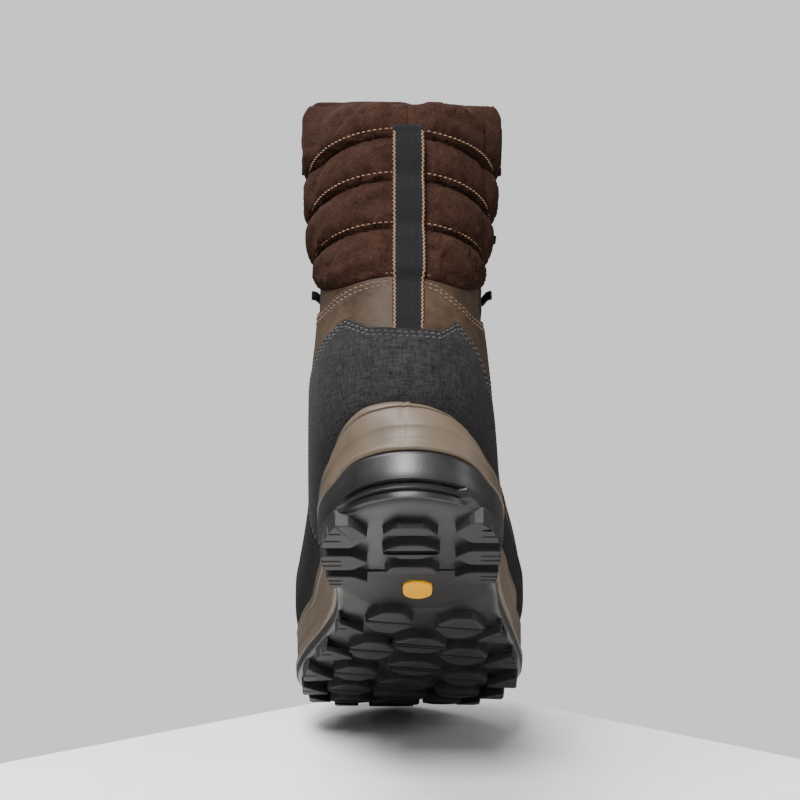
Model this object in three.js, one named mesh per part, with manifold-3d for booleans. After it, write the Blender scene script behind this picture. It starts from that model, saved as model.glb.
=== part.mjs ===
// An insulated hunting boot for the right foot, laced, standing on its sole.
// Millimetres. +Z is up, +Y runs from heel to toe, +X is the outer (lateral) side of the foot.
// Inside this file y is measured from the back of the heel; the finished group is moved so that
// the origin is on the ground under the middle lug of the heel.
import * as THREE from "three";
import { mergeVertices } from "three/addons/utils/BufferGeometryUtils.js";
import Module from "manifold-3d";

const wasm = await Module();
wasm.setup();

// ---------------------------------------------------------------- driving dimensions

const HEEL_REST = 51.3; // from the back of the heel to the lug the origin sits on
const GAP = 0.3; // clearance between neighbouring pieces
const LUG_DEPTH = 5;
const LEATHER = 1.8;
const LINER_OUT = -3.5;
const LINER_IN = -7.2;
const OVERLAY = [GAP, 2.0]; // overlays lie on the leather between these heights
const PAD = [-3.2, 2.4]; // the quilted collar, inside and outside
const LACE_DIAMETER = 3.6;
const SPRING_START = 205; // where the sole begins to rise towards the toe
const SPRING_RADIUS = 236;
const STRAP_X = -1.5;
const STRAP_WIDTH = 14.5;
const CENTRE_X = -4.5; // middle of the throat and of the shaft's front
const BACK_SEAM_X = -1.5;

// The last: rings that swing from upright at the toe to level at the top of the shaft.
// Each has its lowest or rearmost point (y, z), its highest or foremost point (y, z), its half
// width, its sideways shift, how far up its widest place is, and the squareness of both ends.
const RINGS = [
  [301.5, 40, 302, 43.5, 4, -8, 0.5, 2.2, 2.2],
  [299, 35, 300.5, 51, 17, -8, 0.45, 2.5, 2.2],
  [291, 31, 295, 60, 29, -7.5, 0.4, 3, 2.3],
  [278, 28, 282, 67, 39.5, -6, 0.4, 3.5, 2.4],
  [260, 26, 263, 74, 48.5, -4, 0.4, 4, 2.5],
  [238, 24.5, 240, 81, 54.5, -2, 0.4, 4, 2.6],
  [214, 24, 215, 89, 57, -0.5, 0.4, 4, 2.6],
  [190, 25, 190, 99, 54.5, -0.5, 0.42, 4, 2.6],
  [164, 27, 168, 110, 50.5, -1.5, 0.44, 3.8, 2.5],
  [134, 30, 156, 121, 47, -2.5, 0.46, 3.6, 2.4],
  [100, 33, 148, 133, 45.5, -3.5, 0.48, 3.4, 2.3],
  [62, 36, 142, 144, 44.5, -4, 0.5, 3.2, 2.2],
  [30, 40, 137.5, 153, 43.5, -4.5, 0.5, 2.9, 2.2],
  [10.5, 52, 134, 161, 42.5, -5, 0.5, 2.6, 2.2],
  [4, 72, 132, 168, 41, -5, 0.5, 2.4, 2.2],
  [5.5, 96, 130.5, 177, 39.5, -5.5, 0.5, 2.2, 2.2],
  [10, 126, 129.5, 192, 39.5, -5.5, 0.5, 2.1, 2.2],
  [12.5, 150, 129.5, 210, 42, -5.5, 0.5, 2.1, 2.2],
  [13, 178, 130.5, 233, 44.5, -5, 0.5, 2.1, 2.2],
  [12, 205, 132.5, 259, 45.5, -4.5, 0.5, 2.1, 2.2],
  [10, 227, 135, 284, 46, -4.5, 0.5, 2.1, 2.2],
  [7.5, 247, 137.5, 309, 46.5, -4.5, 0.5, 2.1, 2.2],
];
const TOP = RINGS.length - 2; // the collar's edge; the last ring only guides the tongue

// Half of the sole's outline seen from below, from the back of the heel to the tip of the toe.
const LATERAL_EDGE = [
  [0, -2], [14, 0.5], [27, 8], [38, 24], [43, 45], [43, 72], [41, 100], [42.5, 125], [46.5, 150],
  [51.5, 175], [55, 195], [57, 212], [56.5, 228], [52, 246], [43, 266], [29, 285], [10, 300], [-8, 306.5],
];
const MEDIAL_EDGE = [
  [0, -2], [-14, 0.5], [-27, 8], [-38, 24], [-43.5, 45], [-43, 72], [-38.5, 100], [-36, 125], [-38, 150],
  [-45, 175], [-52, 195], [-56.5, 212], [-58.5, 228], [-57.5, 246], [-52.5, 265], [-42, 284], [-27, 299],
  [-8, 306.5],
];

const COLOURS = {
  leather: [0x64544a, 0.75, 0],
  suede: [0x4a382c, 0.95, 0],
  textile: [0x3f3d3e, 0.9, 0],
  rubber: [0x3c3b3c, 0.6, 0],
  foam: [0x867566, 0.7, 0],
  insulation: [0x8a6f55, 1, 0],
  board: [0xb9a58a, 0.9, 0],
  insert: [0xe0a725, 0.5, 0],
  webbing: [0x2b2b2e, 0.85, 0],
  metal: [0x26262a, 0.4, 0.8],
  lace: [0x2c2722, 0.8, 0],
};

// ---------------------------------------------------------------- meshes and solids

const boot = new THREE.Group();
boot.position.y = -HEEL_REST;

function toSolid(geometry) {
  const bare = geometry.clone();
  bare.deleteAttribute("normal");
  bare.deleteAttribute("uv");
  const merged = mergeVertices(bare, 1e-4);
  const vertProperties = new Float32Array(merged.attributes.position.array);
  const triVerts = new Uint32Array(merged.index.array);
  const made = new wasm.Manifold(new wasm.Mesh({ numProp: 3, vertProperties, triVerts }));
  if (made.volume() >= 0) return made;
  for (let i = 0; i < triVerts.length; i += 3) {
    [triVerts[i + 1], triVerts[i + 2]] = [triVerts[i + 2], triVerts[i + 1]];
  }
  return new wasm.Manifold(new wasm.Mesh({ numProp: 3, vertProperties, triVerts }));
}

function toGeometry(solid) {
  const { vertProperties, numProp, triVerts, numVert } = solid.getMesh();
  const positions = new Float32Array(numVert * 3);
  for (let i = 0; i < numVert; i++) {
    positions.set(vertProperties.subarray(i * numProp, i * numProp + 3), i * 3);
  }
  const geometry = new THREE.BufferGeometry();
  geometry.setAttribute("position", new THREE.BufferAttribute(positions, 3));
  geometry.setIndex(new THREE.BufferAttribute(triVerts, 1));
  return geometry;
}

// A piece keeps only its largest body, so a sliver left by a cut never becomes a part of it.
function largestBody(solid) {
  const bodies = solid.decompose();
  return bodies.reduce((best, body) => (body.volume() > best.volume() ? body : best));
}

function addPiece(name, solid, colourName) {
  const [color, roughness, metalness] = COLOURS[colourName];
  const geometry = toGeometry(largestBody(solid));
  geometry.computeVertexNormals();
  const mesh = new THREE.Mesh(geometry, new THREE.MeshStandardMaterial({ color, roughness, metalness }));
  mesh.name = name;
  boot.add(mesh);
}

function solidFromFaces(points, faces) {
  const geometry = new THREE.BufferGeometry();
  geometry.setAttribute("position", new THREE.Float32BufferAttribute(points.flatMap((p) => [p.x, p.y, p.z]), 3));
  geometry.setIndex(faces.flat());
  return toSolid(geometry);
}

function mapVertices(geometry, change) {
  const position = geometry.attributes.position;
  const point = new THREE.Vector3();
  for (let i = 0; i < position.count; i++) {
    change(point.fromBufferAttribute(position, i));
    position.setXYZ(i, point.x, point.y, point.z);
  }
  return geometry;
}

function extruded(points, depth) {
  const shape = new THREE.Shape(points.map(([a, b]) => new THREE.Vector2(a, b)));
  return new THREE.ExtrudeGeometry(shape, { depth, bevelEnabled: false });
}

// A prism whose outline is drawn in side view (y, z) and which runs from x0 to x1.
function sidePrism(points, x0 = -90, x1 = 90) {
  return toSolid(mapVertices(extruded(points, x1 - x0), (p) => p.set(p.z + x0, p.x, p.y)));
}

// A prism whose outline is drawn from the front (x, z) and which runs from y0 to y1.
function frontPrism(points, y0, y1) {
  return toSolid(mapVertices(extruded(points, y1 - y0), (p) => p.set(p.x, p.z + y0, p.y)));
}

function box(x0, x1, y0, y1, z0, z1) {
  const geometry = new THREE.BoxGeometry(x1 - x0, y1 - y0, z1 - z0);
  return toSolid(geometry.translate((x0 + x1) / 2, (y0 + y1) / 2, (z0 + z1) / 2));
}

// A thin wall along a side-view line: taking it away leaves the gap between two neighbours.
function seamWall(points, thickness = GAP) {
  const half = thickness / 2;
  const pieces = points.slice(1).map(([y1, z1], i) => {
    const [y0, z0] = points[i];
    const length = Math.hypot(y1 - y0, z1 - z0);
    const [dy, dz] = [((y1 - y0) / length) * half, ((z1 - z0) / length) * half];
    return sidePrism([
      [y0 - dy - dz, z0 - dz + dy], [y0 - dy + dz, z0 - dz - dy],
      [y1 + dy + dz, z1 + dz - dy], [y1 + dy - dz, z1 + dz + dy],
    ]);
  });
  return wasm.Manifold.union(pieces);
}

// ---------------------------------------------------------------- the last's surface

// Catmull-Rom through a list of equal rows of numbers.
function blendRows(rows, t) {
  const last = rows.length - 1;
  const i = Math.min(Math.max(Math.floor(t), 0), last - 1);
  const f = t - i;
  const [a, b, c, d] = [rows[Math.max(i - 1, 0)], rows[i], rows[i + 1], rows[Math.min(i + 2, last)]];
  return b.map((_, k) => {
    const slopeB = (c[k] - a[k]) / 2;
    const slopeC = (d[k] - b[k]) / 2;
    const square = f * f;
    const cube = square * f;
    return (
      (2 * cube - 3 * square + 1) * b[k] + (cube - 2 * square + f) * slopeB +
      (3 * square - 2 * cube) * c[k] + (cube - square) * slopeC
    );
  });
}

// phi is 0 on the outer side, 90 degrees at the top or front, 180 on the inner side.
function lastPoint(t, phi) {
  const [yb, zb, yt, zt, half, shift, belly, lower, upper] = blendRows(RINGS, t);
  const [c, s] = [Math.cos(phi), Math.sin(phi)];
  const power = s < 0 ? lower : upper;
  const reach = (Math.abs(c) ** power + Math.abs(s) ** power) ** (-1 / power);
  const share = belly + reach * s * (s < 0 ? belly : 1 - belly);
  return new THREE.Vector3(shift + half * reach * c, yb + (yt - yb) * share, zb + (zt - zb) * share);
}

function lastNormal(t, phi) {
  const step = 0.02;
  const low = Math.max(t - step, 0);
  const alongT = lastPoint(t + step, phi).sub(lastPoint(low, phi));
  const alongPhi = lastPoint(t, phi + step).sub(lastPoint(t, phi - step));
  return alongT.cross(alongPhi).normalize().negate();
}

function lastOffset(t, phi, offset) {
  return lastPoint(t, phi).addScaledVector(lastNormal(t, phi), offset);
}

function bisect(low, high, isBelow) {
  for (let i = 0; i < 40; i++) {
    const middle = (low + high) / 2;
    if (isBelow(middle)) low = middle;
    else high = middle;
  }
  return (low + high) / 2;
}

// The angle at which a ring's front or back half passes through a given x.
function phiAtX(t, x, back = false) {
  if (back) return bisect(Math.PI, 2 * Math.PI, (phi) => lastPoint(t, phi).x < x);
  return bisect(0, Math.PI, (phi) => lastPoint(t, phi).x > x);
}

// The ring on which the front surface reaches a height at a given x.
function frontAt(x, z) {
  const t = bisect(7, RINGS.length - 1, (ring) => lastPoint(ring, phiAtX(ring, x)).z < z);
  return [t, phiAtX(t, x)];
}

const LAYER_ROWS = [0, 0.5, 1.3, 2.3, 3.5, 5, 6.5, 7.8, 9, 10.2, 11.4, 12.6, 13.8, 15, 16.2, 18, 20];
const LAYER_COLUMNS = 20;

function ringPoints(t, offset) {
  return Array.from({ length: LAYER_COLUMNS }, (_, i) =>
    lastOffset(t, ((i + 0.5) / LAYER_COLUMNS) * 2 * Math.PI, offset),
  );
}

function middleOf(points) {
  return points.reduce((sum, p) => sum.add(p), new THREE.Vector3()).divideScalar(points.length);
}

// Faces of a skin whose rows are closed rings, with its first ring filled in by a fan.
function skinFaces(start, rows) {
  const n = LAYER_COLUMNS;
  const faces = [];
  for (let i = 0; i < n; i++) {
    const j = (i + 1) % n;
    faces.push([start + rows * n, start + i, start + j]);
    for (let r = 0; r < rows - 1; r++) {
      const [a, b] = [start + r * n, start + (r + 1) * n];
      faces.push([a + i, b + i, b + j], [a + i, b + j, a + j]);
    }
  }
  return faces;
}

function skinPoints(offset) {
  const rings = LAYER_ROWS.map((t) => ringPoints(t, offset));
  return [...rings.flat(), middleOf(rings[0])];
}

// A shell of the whole boot between two offsets from the last, closed at the toe and open at the top.
function layer(inner, outer) {
  const rows = LAYER_ROWS.length;
  const count = rows * LAYER_COLUMNS + 1;
  const faces = skinFaces(0, rows);
  faces.push(...skinFaces(count, rows).map(([a, b, c]) => [a, c, b]));
  const rim = (rows - 1) * LAYER_COLUMNS;
  for (let i = 0; i < LAYER_COLUMNS; i++) {
    const j = (i + 1) % LAYER_COLUMNS;
    faces.push([rim + i, count + rim + i, count + rim + j], [rim + i, count + rim + j, rim + j]);
  }
  return solidFromFaces([...skinPoints(outer), ...skinPoints(inner)], faces);
}

// The filled boot out to one offset, used to hollow the midsole.
function envelope(offset) {
  const rows = LAYER_ROWS.length;
  const points = skinPoints(offset);
  const rim = (rows - 1) * LAYER_COLUMNS;
  points.push(middleOf(points.slice(rim, rim + LAYER_COLUMNS)));
  const faces = skinFaces(0, rows);
  for (let i = 0; i < LAYER_COLUMNS; i++) {
    faces.push([rim + i, points.length - 1, rim + ((i + 1) % LAYER_COLUMNS)]);
  }
  return solidFromFaces(points, faces);
}

// A patch of the last, thickened: where(u, v) gives [t, phi], the two heights may vary over it.
function patch(where, across, along, inner, outer) {
  const points = [];
  const width = across + 1;
  for (const height of [outer, inner]) {
    for (let j = 0; j <= along; j++) {
      for (let i = 0; i <= across; i++) {
        const [u, v] = [i / across, j / along];
        points.push(lastOffset(...where(u, v), height(u, v)));
      }
    }
  }
  const under = width * (along + 1);
  const faces = [];
  const quad = (a, b, c, d) => faces.push([a, b, c], [a, c, d]);
  for (let j = 0; j < along; j++) {
    for (let i = 0; i < across; i++) {
      const a = j * width + i;
      quad(a, a + 1, a + width + 1, a + width);
      quad(under + a, under + a + width, under + a + width + 1, under + a + 1);
    }
  }
  const rim = [];
  for (let i = 0; i < across; i++) rim.push(i);
  for (let j = 0; j < along; j++) rim.push(j * width + across);
  for (let i = across; i > 0; i--) rim.push(along * width + i);
  for (let j = along; j > 0; j--) rim.push(j * width);
  rim.forEach((a, k) => {
    const b = rim[(k + 1) % rim.length];
    quad(b, a, under + a, under + b);
  });
  return solidFromFaces(points, faces);
}

// ---------------------------------------------------------------- the sole

function spring(y) {
  return y > SPRING_START ? (y - SPRING_START) ** 2 / (2 * SPRING_RADIUS) : 0;
}

function soften(y, from, to) {
  const f = Math.min(Math.max((y - from) / (to - from), 0), 1);
  return f * f * (3 - 2 * f);
}

const HALF_STATIONS = 22;

// One side of the outline with its points moved outwards along their normals.
function edgeLine(rows, side, outset) {
  return Array.from({ length: HALF_STATIONS + 1 }, (_, i) => {
    const t = (i / HALF_STATIONS) * (rows.length - 1);
    const [x, y] = blendRows(rows, t);
    const [x0, y0] = blendRows(rows, Math.max(t - 0.05, 0));
    const [x1, y1] = blendRows(rows, Math.min(t + 0.05, rows.length - 1));
    const isEnd = i === 0 || i === HALF_STATIONS;
    const length = Math.hypot(x1 - x0, y1 - y0);
    const nx = isEnd ? 0 : (side * (y1 - y0)) / length;
    const ny = isEnd ? (i === 0 ? -1 : 1) : (-side * (x1 - x0)) / length;
    const reach = outset(y, side);
    return [x + nx * reach, y + ny * reach];
  });
}

// A solid made of sole outlines stacked from the bottom up; each level gives outset and height.
function soleStack(levels) {
  const size = 2 * HALF_STATIONS;
  const points = levels.flatMap(({ outset, height }) => {
    const right = edgeLine(LATERAL_EDGE, 1, outset);
    const left = edgeLine(MEDIAL_EDGE, -1, outset);
    const loop = [...right, ...left.slice(1, -1).reverse()];
    return loop.map(([x, y]) => new THREE.Vector3(x, y, height(y)));
  });
  const faces = [];
  for (let level = 0; level < levels.length - 1; level++) {
    for (let i = 0; i < size; i++) {
      const j = (i + 1) % size;
      const [a, b] = [level * size, (level + 1) * size];
      faces.push([a + i, a + j, b + j], [a + i, b + j, b + i]);
    }
  }
  const cap = (start, flip) => {
    for (let i = 0; i < HALF_STATIONS; i++) {
      const [r0, r1] = [i, i + 1];
      const [l0, l1] = [(size - i) % size, size - i - 1];
      const strip = l0 === r0 ? [[r0, l1, r1]] : r1 === l1 ? [[r0, l0, r1]] : [[r0, l0, l1], [r0, l1, r1]];
      for (const [a, b, c] of strip) faces.push(flip ? [start + a, start + c, start + b] : [start + a, start + b, start + c]);
    }
  };
  cap(0, false);
  cap((levels.length - 1) * size, true);
  return solidFromFaces(points, faces);
}

const outsoleTop = (y) => spring(y) + 28 - 17 * soften(y, 70, 145);
const treadRoot = (y) => spring(y) + LUG_DEPTH + 3.5 * soften(y, 82, 92) * (1 - soften(y, 122, 134));
// The back of the heel is bevelled: its tread starts further forward than the bumper above it.
const heelBevel = (y, depth) => depth * (1 - soften(y, 0, 30));

function outsolePlate() {
  return soleStack([
    { outset: (y) => -4 - heelBevel(y, 7), height: treadRoot },
    { outset: (y) => -0.5 - heelBevel(y, 3), height: (y) => treadRoot(y) + 4 },
    { outset: (y) => 0.5, height: (y) => outsoleTop(y) - 2 },
    { outset: () => -0.5, height: outsoleTop },
  ]);
}

// A lug is a prism from the ground into the plate, bent up with the toe spring.
function lug(points) {
  const geometry = extruded(points, LUG_DEPTH + 2);
  return toSolid(mapVertices(geometry, (p) => p.setZ(p.z + spring(p.y))));
}

function octagonLug([x, y], halfWidth, length, turn = 0) {
  const [w, l] = [halfWidth, length / 2];
  const corners = [
    [-0.4 * w, -l], [0.4 * w, -l], [w, -0.25 * l], [w, 0.25 * l], [0.4 * w, l], [-0.4 * w, l], [-w, 0.25 * l],
    [-w, -0.25 * l],
  ];
  const [c, s] = [Math.cos(turn), Math.sin(turn)];
  return lug(corners.map(([a, b]) => [x + a * c - b * s, y + a * s + b * c]));
}

// A block at the heel's edge, pointed towards the middle.
function heelSideLug(side, back, front) {
  const middle = (back + front) / 2;
  return lug([[43, back], [28, back], [20, middle], [28, front], [43, front]].map(([x, y]) => [side * x, y]));
}

// A wedge at the forefoot's edge between two octagons.
function foreSideLug(side, outer, inner, back, front) {
  return lug([[outer, back], [inner + 5, front - 5], [inner, front], [outer, front + 2]].map(([x, y]) => [side * x, y]));
}

const HEEL_LUGS_MEDIAL = [[21, 46], [55.5, 72], [80, 93]];
const HEEL_LUGS_LATERAL = [[17.5, 40], [49.5, 65.5], [75, 88]];
const FORE_TURN = 0.2;
const FORE_LUGS = [
  // middle of each octagon, half width, length
  [[-10.5, 138], 10.5, 24], [[24.5, 145.5], 11, 24], [[4.5, 168], 12.5, 18],
  [[-19.5, 175], 10.5, 21], [[27, 183], 11, 21], [[1.5, 198.5], 13, 17],
  [[-28, 206], 10.5, 18], [[28, 214], 10.5, 18], [[-3, 223], 13, 17],
  [[-31.5, 233], 10.5, 18], [[24.5, 241], 10.5, 18], [[-5.5, 248], 13, 16],
  [[-31, 259], 10, 17], [[17, 266], 9.5, 16], [[-8, 272], 12, 15], [[-10, 293], 11, 12],
];
const FORE_SIDE_LUGS = [
  // side, outer edge, inner tip, back, front
  [-1, 39, 24, 136, 151], [-1, 49, 30, 170, 185], [-1, 55, 40, 199, 214], [-1, 56, 43, 226, 240],
  [-1, 53, 42, 250, 263], [-1, 40, 28, 274, 284], [1, 50, 34, 146, 162], [1, 55, 38, 181, 196],
  [1, 55, 40, 212, 226], [1, 49, 36, 240, 252], [1, 37, 25, 264, 276],
];

function allLugs() {
  const lugs = [];
  for (const [back, front] of HEEL_LUGS_MEDIAL) lugs.push(heelSideLug(-1, back, front));
  for (const [back, front] of HEEL_LUGS_LATERAL) lugs.push(heelSideLug(1, back, front));
  for (const [centre, half, length] of FORE_LUGS) lugs.push(octagonLug(centre, half, length, FORE_TURN));
  for (const row of FORE_SIDE_LUGS) lugs.push(foreSideLug(...row));
  lugs.push(lug([[-8, 23], [7, 23], [13, 32], [-14, 32]]));
  lugs.push(octagonLug([0, HEEL_REST], 13.4, 16));
  lugs.push(lug([[-9, 69], [9, 69], [14, 77], [-13, 77]]));
  lugs.push(lug([[-24, 13], [20, 13], [15, 17.5], [-18, 17.5]]));
  return lugs;
}

const BADGE = { x: [-4, 10.5], y: [97, 118] };

function badgeOutline(grow) {
  const [[x0, x1], [y0, y1]] = [BADGE.x, BADGE.y];
  const cut = 4;
  return [
    [x0 - grow, y0 + cut], [x0 + cut, y0 - grow], [x1 - cut, y0 - grow], [x1 + grow, y0 + cut],
    [x1 + grow, y1 - cut], [x1 - cut, y1 + grow], [x0 + cut, y1 + grow], [x0 - grow, y1 - cut],
  ];
}

function levelPrism(points, z0, z1) {
  return toSolid(extruded(points, z1 - z0).translate(0, 0, z0));
}

const SHANK_OUTLINE = [[-31, 86], [32, 84], [36, 104], [30, 122], [14, 132], [-8, 132], [-24, 122], [-34, 106]];

function addSole() {
  const recess = levelPrism(SHANK_OUTLINE, -1, 12);
  // The lugs are trimmed to the sole's outline.
  const trim = soleStack([
    { outset: () => -0.8, height: (y) => spring(y) - 2 },
    { outset: () => -0.8, height: (y) => spring(y) + LUG_DEPTH + 4 },
  ]);
  const lugs = wasm.Manifold.union(allLugs()).intersect(trim);
  addPiece("outsole", outsolePlate().add(lugs).subtract(recess), "rubber");

  const shankBody = levelPrism(SHANK_OUTLINE.map(([x, y]) => [x * 0.985, 108 + (y - 108) * 0.98]), 5.5, 11.7);
  addPiece("shank_plate", shankBody.subtract(levelPrism(badgeOutline(GAP), 0, 8.3)), "rubber");
  addPiece("sole_insert", levelPrism(badgeOutline(0), 4.6, 8), "insert");

  const wallTop = (y) => 59 - 15 * soften(y, 10, 95) - 11 * soften(y, 95, 190) + spring(y);
  // Over the waist the midsole flares out past the outsole to meet the upper.
  const flare = (y) => 6 * soften(y, 80, 120) * (1 - soften(y, 150, 190));
  const midsole = soleStack([
    { outset: () => -0.8, height: (y) => outsoleTop(y) + GAP },
    { outset: (y) => 0.8 + 0.6 * flare(y), height: (y) => outsoleTop(y) + 4 },
    { outset: (y) => 0.2 + flare(y), height: (y) => (outsoleTop(y) + wallTop(y)) / 2 + 3 },
    { outset: (y) => -1.2 + flare(y), height: wallTop },
  ]);
  addPiece("midsole", midsole.subtract(envelope(OVERLAY[1] + 0.4)), "foam");
}

// ---------------------------------------------------------------- the upper

// Half the width of the opening in front, where the tongue shows, at a height.
const throatHalf = (z) => 13 + 9 * soften(z, 106, 150) + 9 * soften(z, 140, 290);
const THROAT_BOTTOM = 106;
const THROAT_HEIGHTS = [106, 112, 125, 145, 175, 220, 330];

function throat(grow) {
  const right = THROAT_HEIGHTS.map((z, i) => {
    const half = throatHalf(z) + grow;
    return [i === 0 ? half * 0.6 : half, i === 0 ? z - grow : z];
  });
  const left = right.map(([x, z]) => [-x, z]).reverse();
  return frontPrism([...right, ...left].map(([x, z]) => [x + CENTRE_X, z]), 78, 260);
}

// Lines in side view, each from the back to the front.
const COLLAR_LINE = [[-30, 126], [10, 126], [30, 130], [60, 146], [80, 156], [105, 168], [160, 186]];
const COUNTER_TOP = [[-30, 122], [22, 122], [40, 124], [58, 128], [78, 137]];
const COUNTER_FRONT = [[78, 137], [84, 110], [76, 80], [72, 20]];
const BOARD_LINE = [
  [-30, 50], [8, 50], [30, 46], [62, 43], [100, 39], [134, 36], [164, 33], [190, 31], [214, 30], [238, 31],
  [260, 33], [278, 36], [292, 41], [320, 50],
];
const VAMP_LINE = [[163, -10], [163, 140]];
const PANEL_TOP = [
  [-30, 94], [8, 94.5], [22, 105.5], [35, 101], [52, 97], [72, 92], [100, 83], [130, 73], [134, 72],
];
const RAND_TOP = [[134, 72], [165, 62], [200, 57], [235, 57], [262, 62], [320, 62]];
const EYESTAY_WIDTH = 17;

const reversed = (line) => [...line].reverse();
const above = (line) => sidePrism([...line, [line.at(-1)[0], 400], [line[0][0], 400]]);
const below = (line) => sidePrism([...line, [line.at(-1)[0], -50], [line[0][0], -50]]);
const innerHalf = () => box(-150, BACK_SEAM_X - GAP / 2, -50, 400, -50, 400);
const outerHalf = () => box(BACK_SEAM_X + GAP / 2, 150, -50, 400, -50, 400);

function addUpper() {
  const hide = layer(-LEATHER, 0);
  const opening = throat(0);
  const eyestayZone = throat(EYESTAY_WIDTH);
  const boardZone = below(BOARD_LINE);
  const counterZone = sidePrism([...COUNTER_TOP, ...COUNTER_FRONT.slice(1), [-30, 20]]);
  const vampZone = sidePrism([...VAMP_LINE, [320, 140], [320, -10]]);
  const seams = [COLLAR_LINE, COUNTER_TOP, COUNTER_FRONT, BOARD_LINE, VAMP_LINE].map((line) => seamWall(line));
  const cutHide = hide.subtract(wasm.Manifold.union(seams));
  const shellHide = cutHide.subtract(below(BOARD_LINE));

  addPiece("insole_board", cutHide.intersect(boardZone), "board");
  addPiece("vamp", shellHide.intersect(vampZone).subtract(opening), "leather");
  addPiece("heel_counter_cover", shellHide.intersect(counterZone), "leather");

  const collarZone = above(COLLAR_LINE);
  const stay = collarZone.subtract(eyestayZone);
  const quarters = shellHide.subtract(vampZone).subtract(counterZone).subtract(stay).subtract(opening);
  addPiece("medial_quarter", quarters.intersect(innerHalf()), "leather");
  addPiece("lateral_quarter", quarters.intersect(outerHalf()), "leather");

  const pad = layer(...PAD).subtract(seamWall(COLLAR_LINE)).intersect(collarZone).subtract(throat(EYESTAY_WIDTH + GAP));
  addPiece("medial_collar_pad", pad.intersect(innerHalf()), "suede");
  addPiece("lateral_collar_pad", pad.intersect(outerHalf()), "suede");

  const overlay = layer(...OVERLAY).subtract(below(BOARD_LINE));
  const panelFront = 134;
  const behind = box(-90, 90, -50, panelFront, -50, 400);
  const ahead = box(-90, 90, panelFront + GAP, 400, -50, 400);
  addPiece("heel_panel", overlay.intersect(below(PANEL_TOP)).intersect(behind), "textile");
  addPiece("toe_rand", overlay.intersect(below(RAND_TOP)).intersect(ahead), "rubber");

  const eyestays = overlay.intersect(eyestayZone).subtract(opening);
  const aboveThroat = box(-90, 90, 60, 400, THROAT_BOTTOM - 14, 400);
  addPiece("medial_eyestay", eyestays.intersect(aboveThroat).intersect(box(-150, CENTRE_X - GAP, 60, 400, 0, 400)), "leather");
  addPiece("lateral_eyestay", eyestays.intersect(aboveThroat).intersect(box(CENTRE_X + GAP, 150, 60, 400, 0, 400)), "leather");
}

function addInside() {
  addPiece("insulated_liner", layer(LINER_IN, LINER_OUT).subtract(throat(2)), "insulation");

  const stiffener = layer(LINER_OUT + GAP, -LEATHER - GAP);
  const toeZone = sidePrism([[252, 34], [250, 60], [258, 120], [320, 120], [320, 30]]);
  addPiece("toe_puff", stiffener.intersect(toeZone).subtract(below(BOARD_LINE)), "board");
  const cupZone = sidePrism([[-30, 50], [-30, 112], [30, 108], [62, 84], [70, 60], [66, 48]]);
  addPiece("heel_counter", stiffener.intersect(cupZone).subtract(below(BOARD_LINE)), "board");

  // The footbed lies on the liner's floor and curls up a little at its edges.
  const footbedEdge = (t) => 0.74 + 0.06 * soften(t, 8, 12);
  const where = (u, v) => {
    const t = 1.1 + v * 11.3;
    return [t, 1.5 * Math.PI + (u - 0.5) * footbedEdge(t) * Math.PI * 0.56];
  };
  const top = (u) => LINER_IN - GAP - 6 + 2 * Math.abs(2 * u - 1) ** 2;
  addPiece("footbed", patch(where, 6, 11, top, () => LINER_IN - GAP - 1.5), "insulation");
}

function addBackStrap() {
  const [bottom, top] = [15.05, 19.2];
  const padStart = bisect(bottom, top, (t) => lastPoint(t, 1.5 * Math.PI).z < COLLAR_LINE[1][1] - 2);
  const lift = (t) => (PAD[1] + 0.7) * soften(t, padStart - 0.3, padStart) + GAP + 0.2;
  const at = (v) => bottom + (top - bottom) * v;
  const where = (u, v) => {
    const t = at(v);
    return [t, phiAtX(t, STRAP_X + (u - 0.5) * STRAP_WIDTH, true)];
  };
  addPiece("back_strap", patch(where, 2, 26, (u, v) => lift(at(v)), (u, v) => lift(at(v)) + 1.6), "webbing");
}

// ---------------------------------------------------------------- the tongue

const TONGUE_ROWS = [7.6, 20.62];

function tonguePlace(u, v) {
  const t = TONGUE_ROWS[0] + (TONGUE_ROWS[1] - TONGUE_ROWS[0]) * v;
  const z = lastPoint(t, Math.PI / 2).z;
  // The top corners are rounded off.
  const corner = 1 - 0.45 * Math.max(0, (v - 0.93) / 0.07) ** 2;
  const half = Math.min(throatHalf(z) + 6, 38) * corner;
  return [t, phiAtX(t, CENTRE_X + (0.5 - u) * 2 * half)];
}

function addTongue() {
  // It is flat where it lies under the vamp and crowned where it fills the opening.
  const crown = (u, v) => Math.sin(Math.PI * u) ** 1.5 * soften(v, 0.14, 0.34);
  const outer = (u, v) => LINER_IN - 1.6 + 5 * crown(u, v);
  const inner = (u, v) => LINER_IN - 5 - 3 * crown(u, v);
  addPiece("tongue", patch(tonguePlace, 8, 14, inner, outer), "textile");
}

// ---------------------------------------------------------------- lacing hardware

// Lacing points from the toe up: ring, and whether it is a closed loop or an open hook.
const LACING = [
  [8.3, "loop"], [9.9, "loop"], [11.6, "loop"], [13.4, "loop"], [15.3, "hook"], [17.1, "hook"], [18.7, "hook"],
];
const STATION_IN_FROM_EDGE = 9;
const PLATE = 0.9;
const TUNNEL_HEIGHT = 5;
const TUNNEL_HALF = 3;
const BAR = 1.1;
const HARDWARE_LENGTH = 4.6;
const SEAT_CLEARANCE = 1.5;

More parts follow.
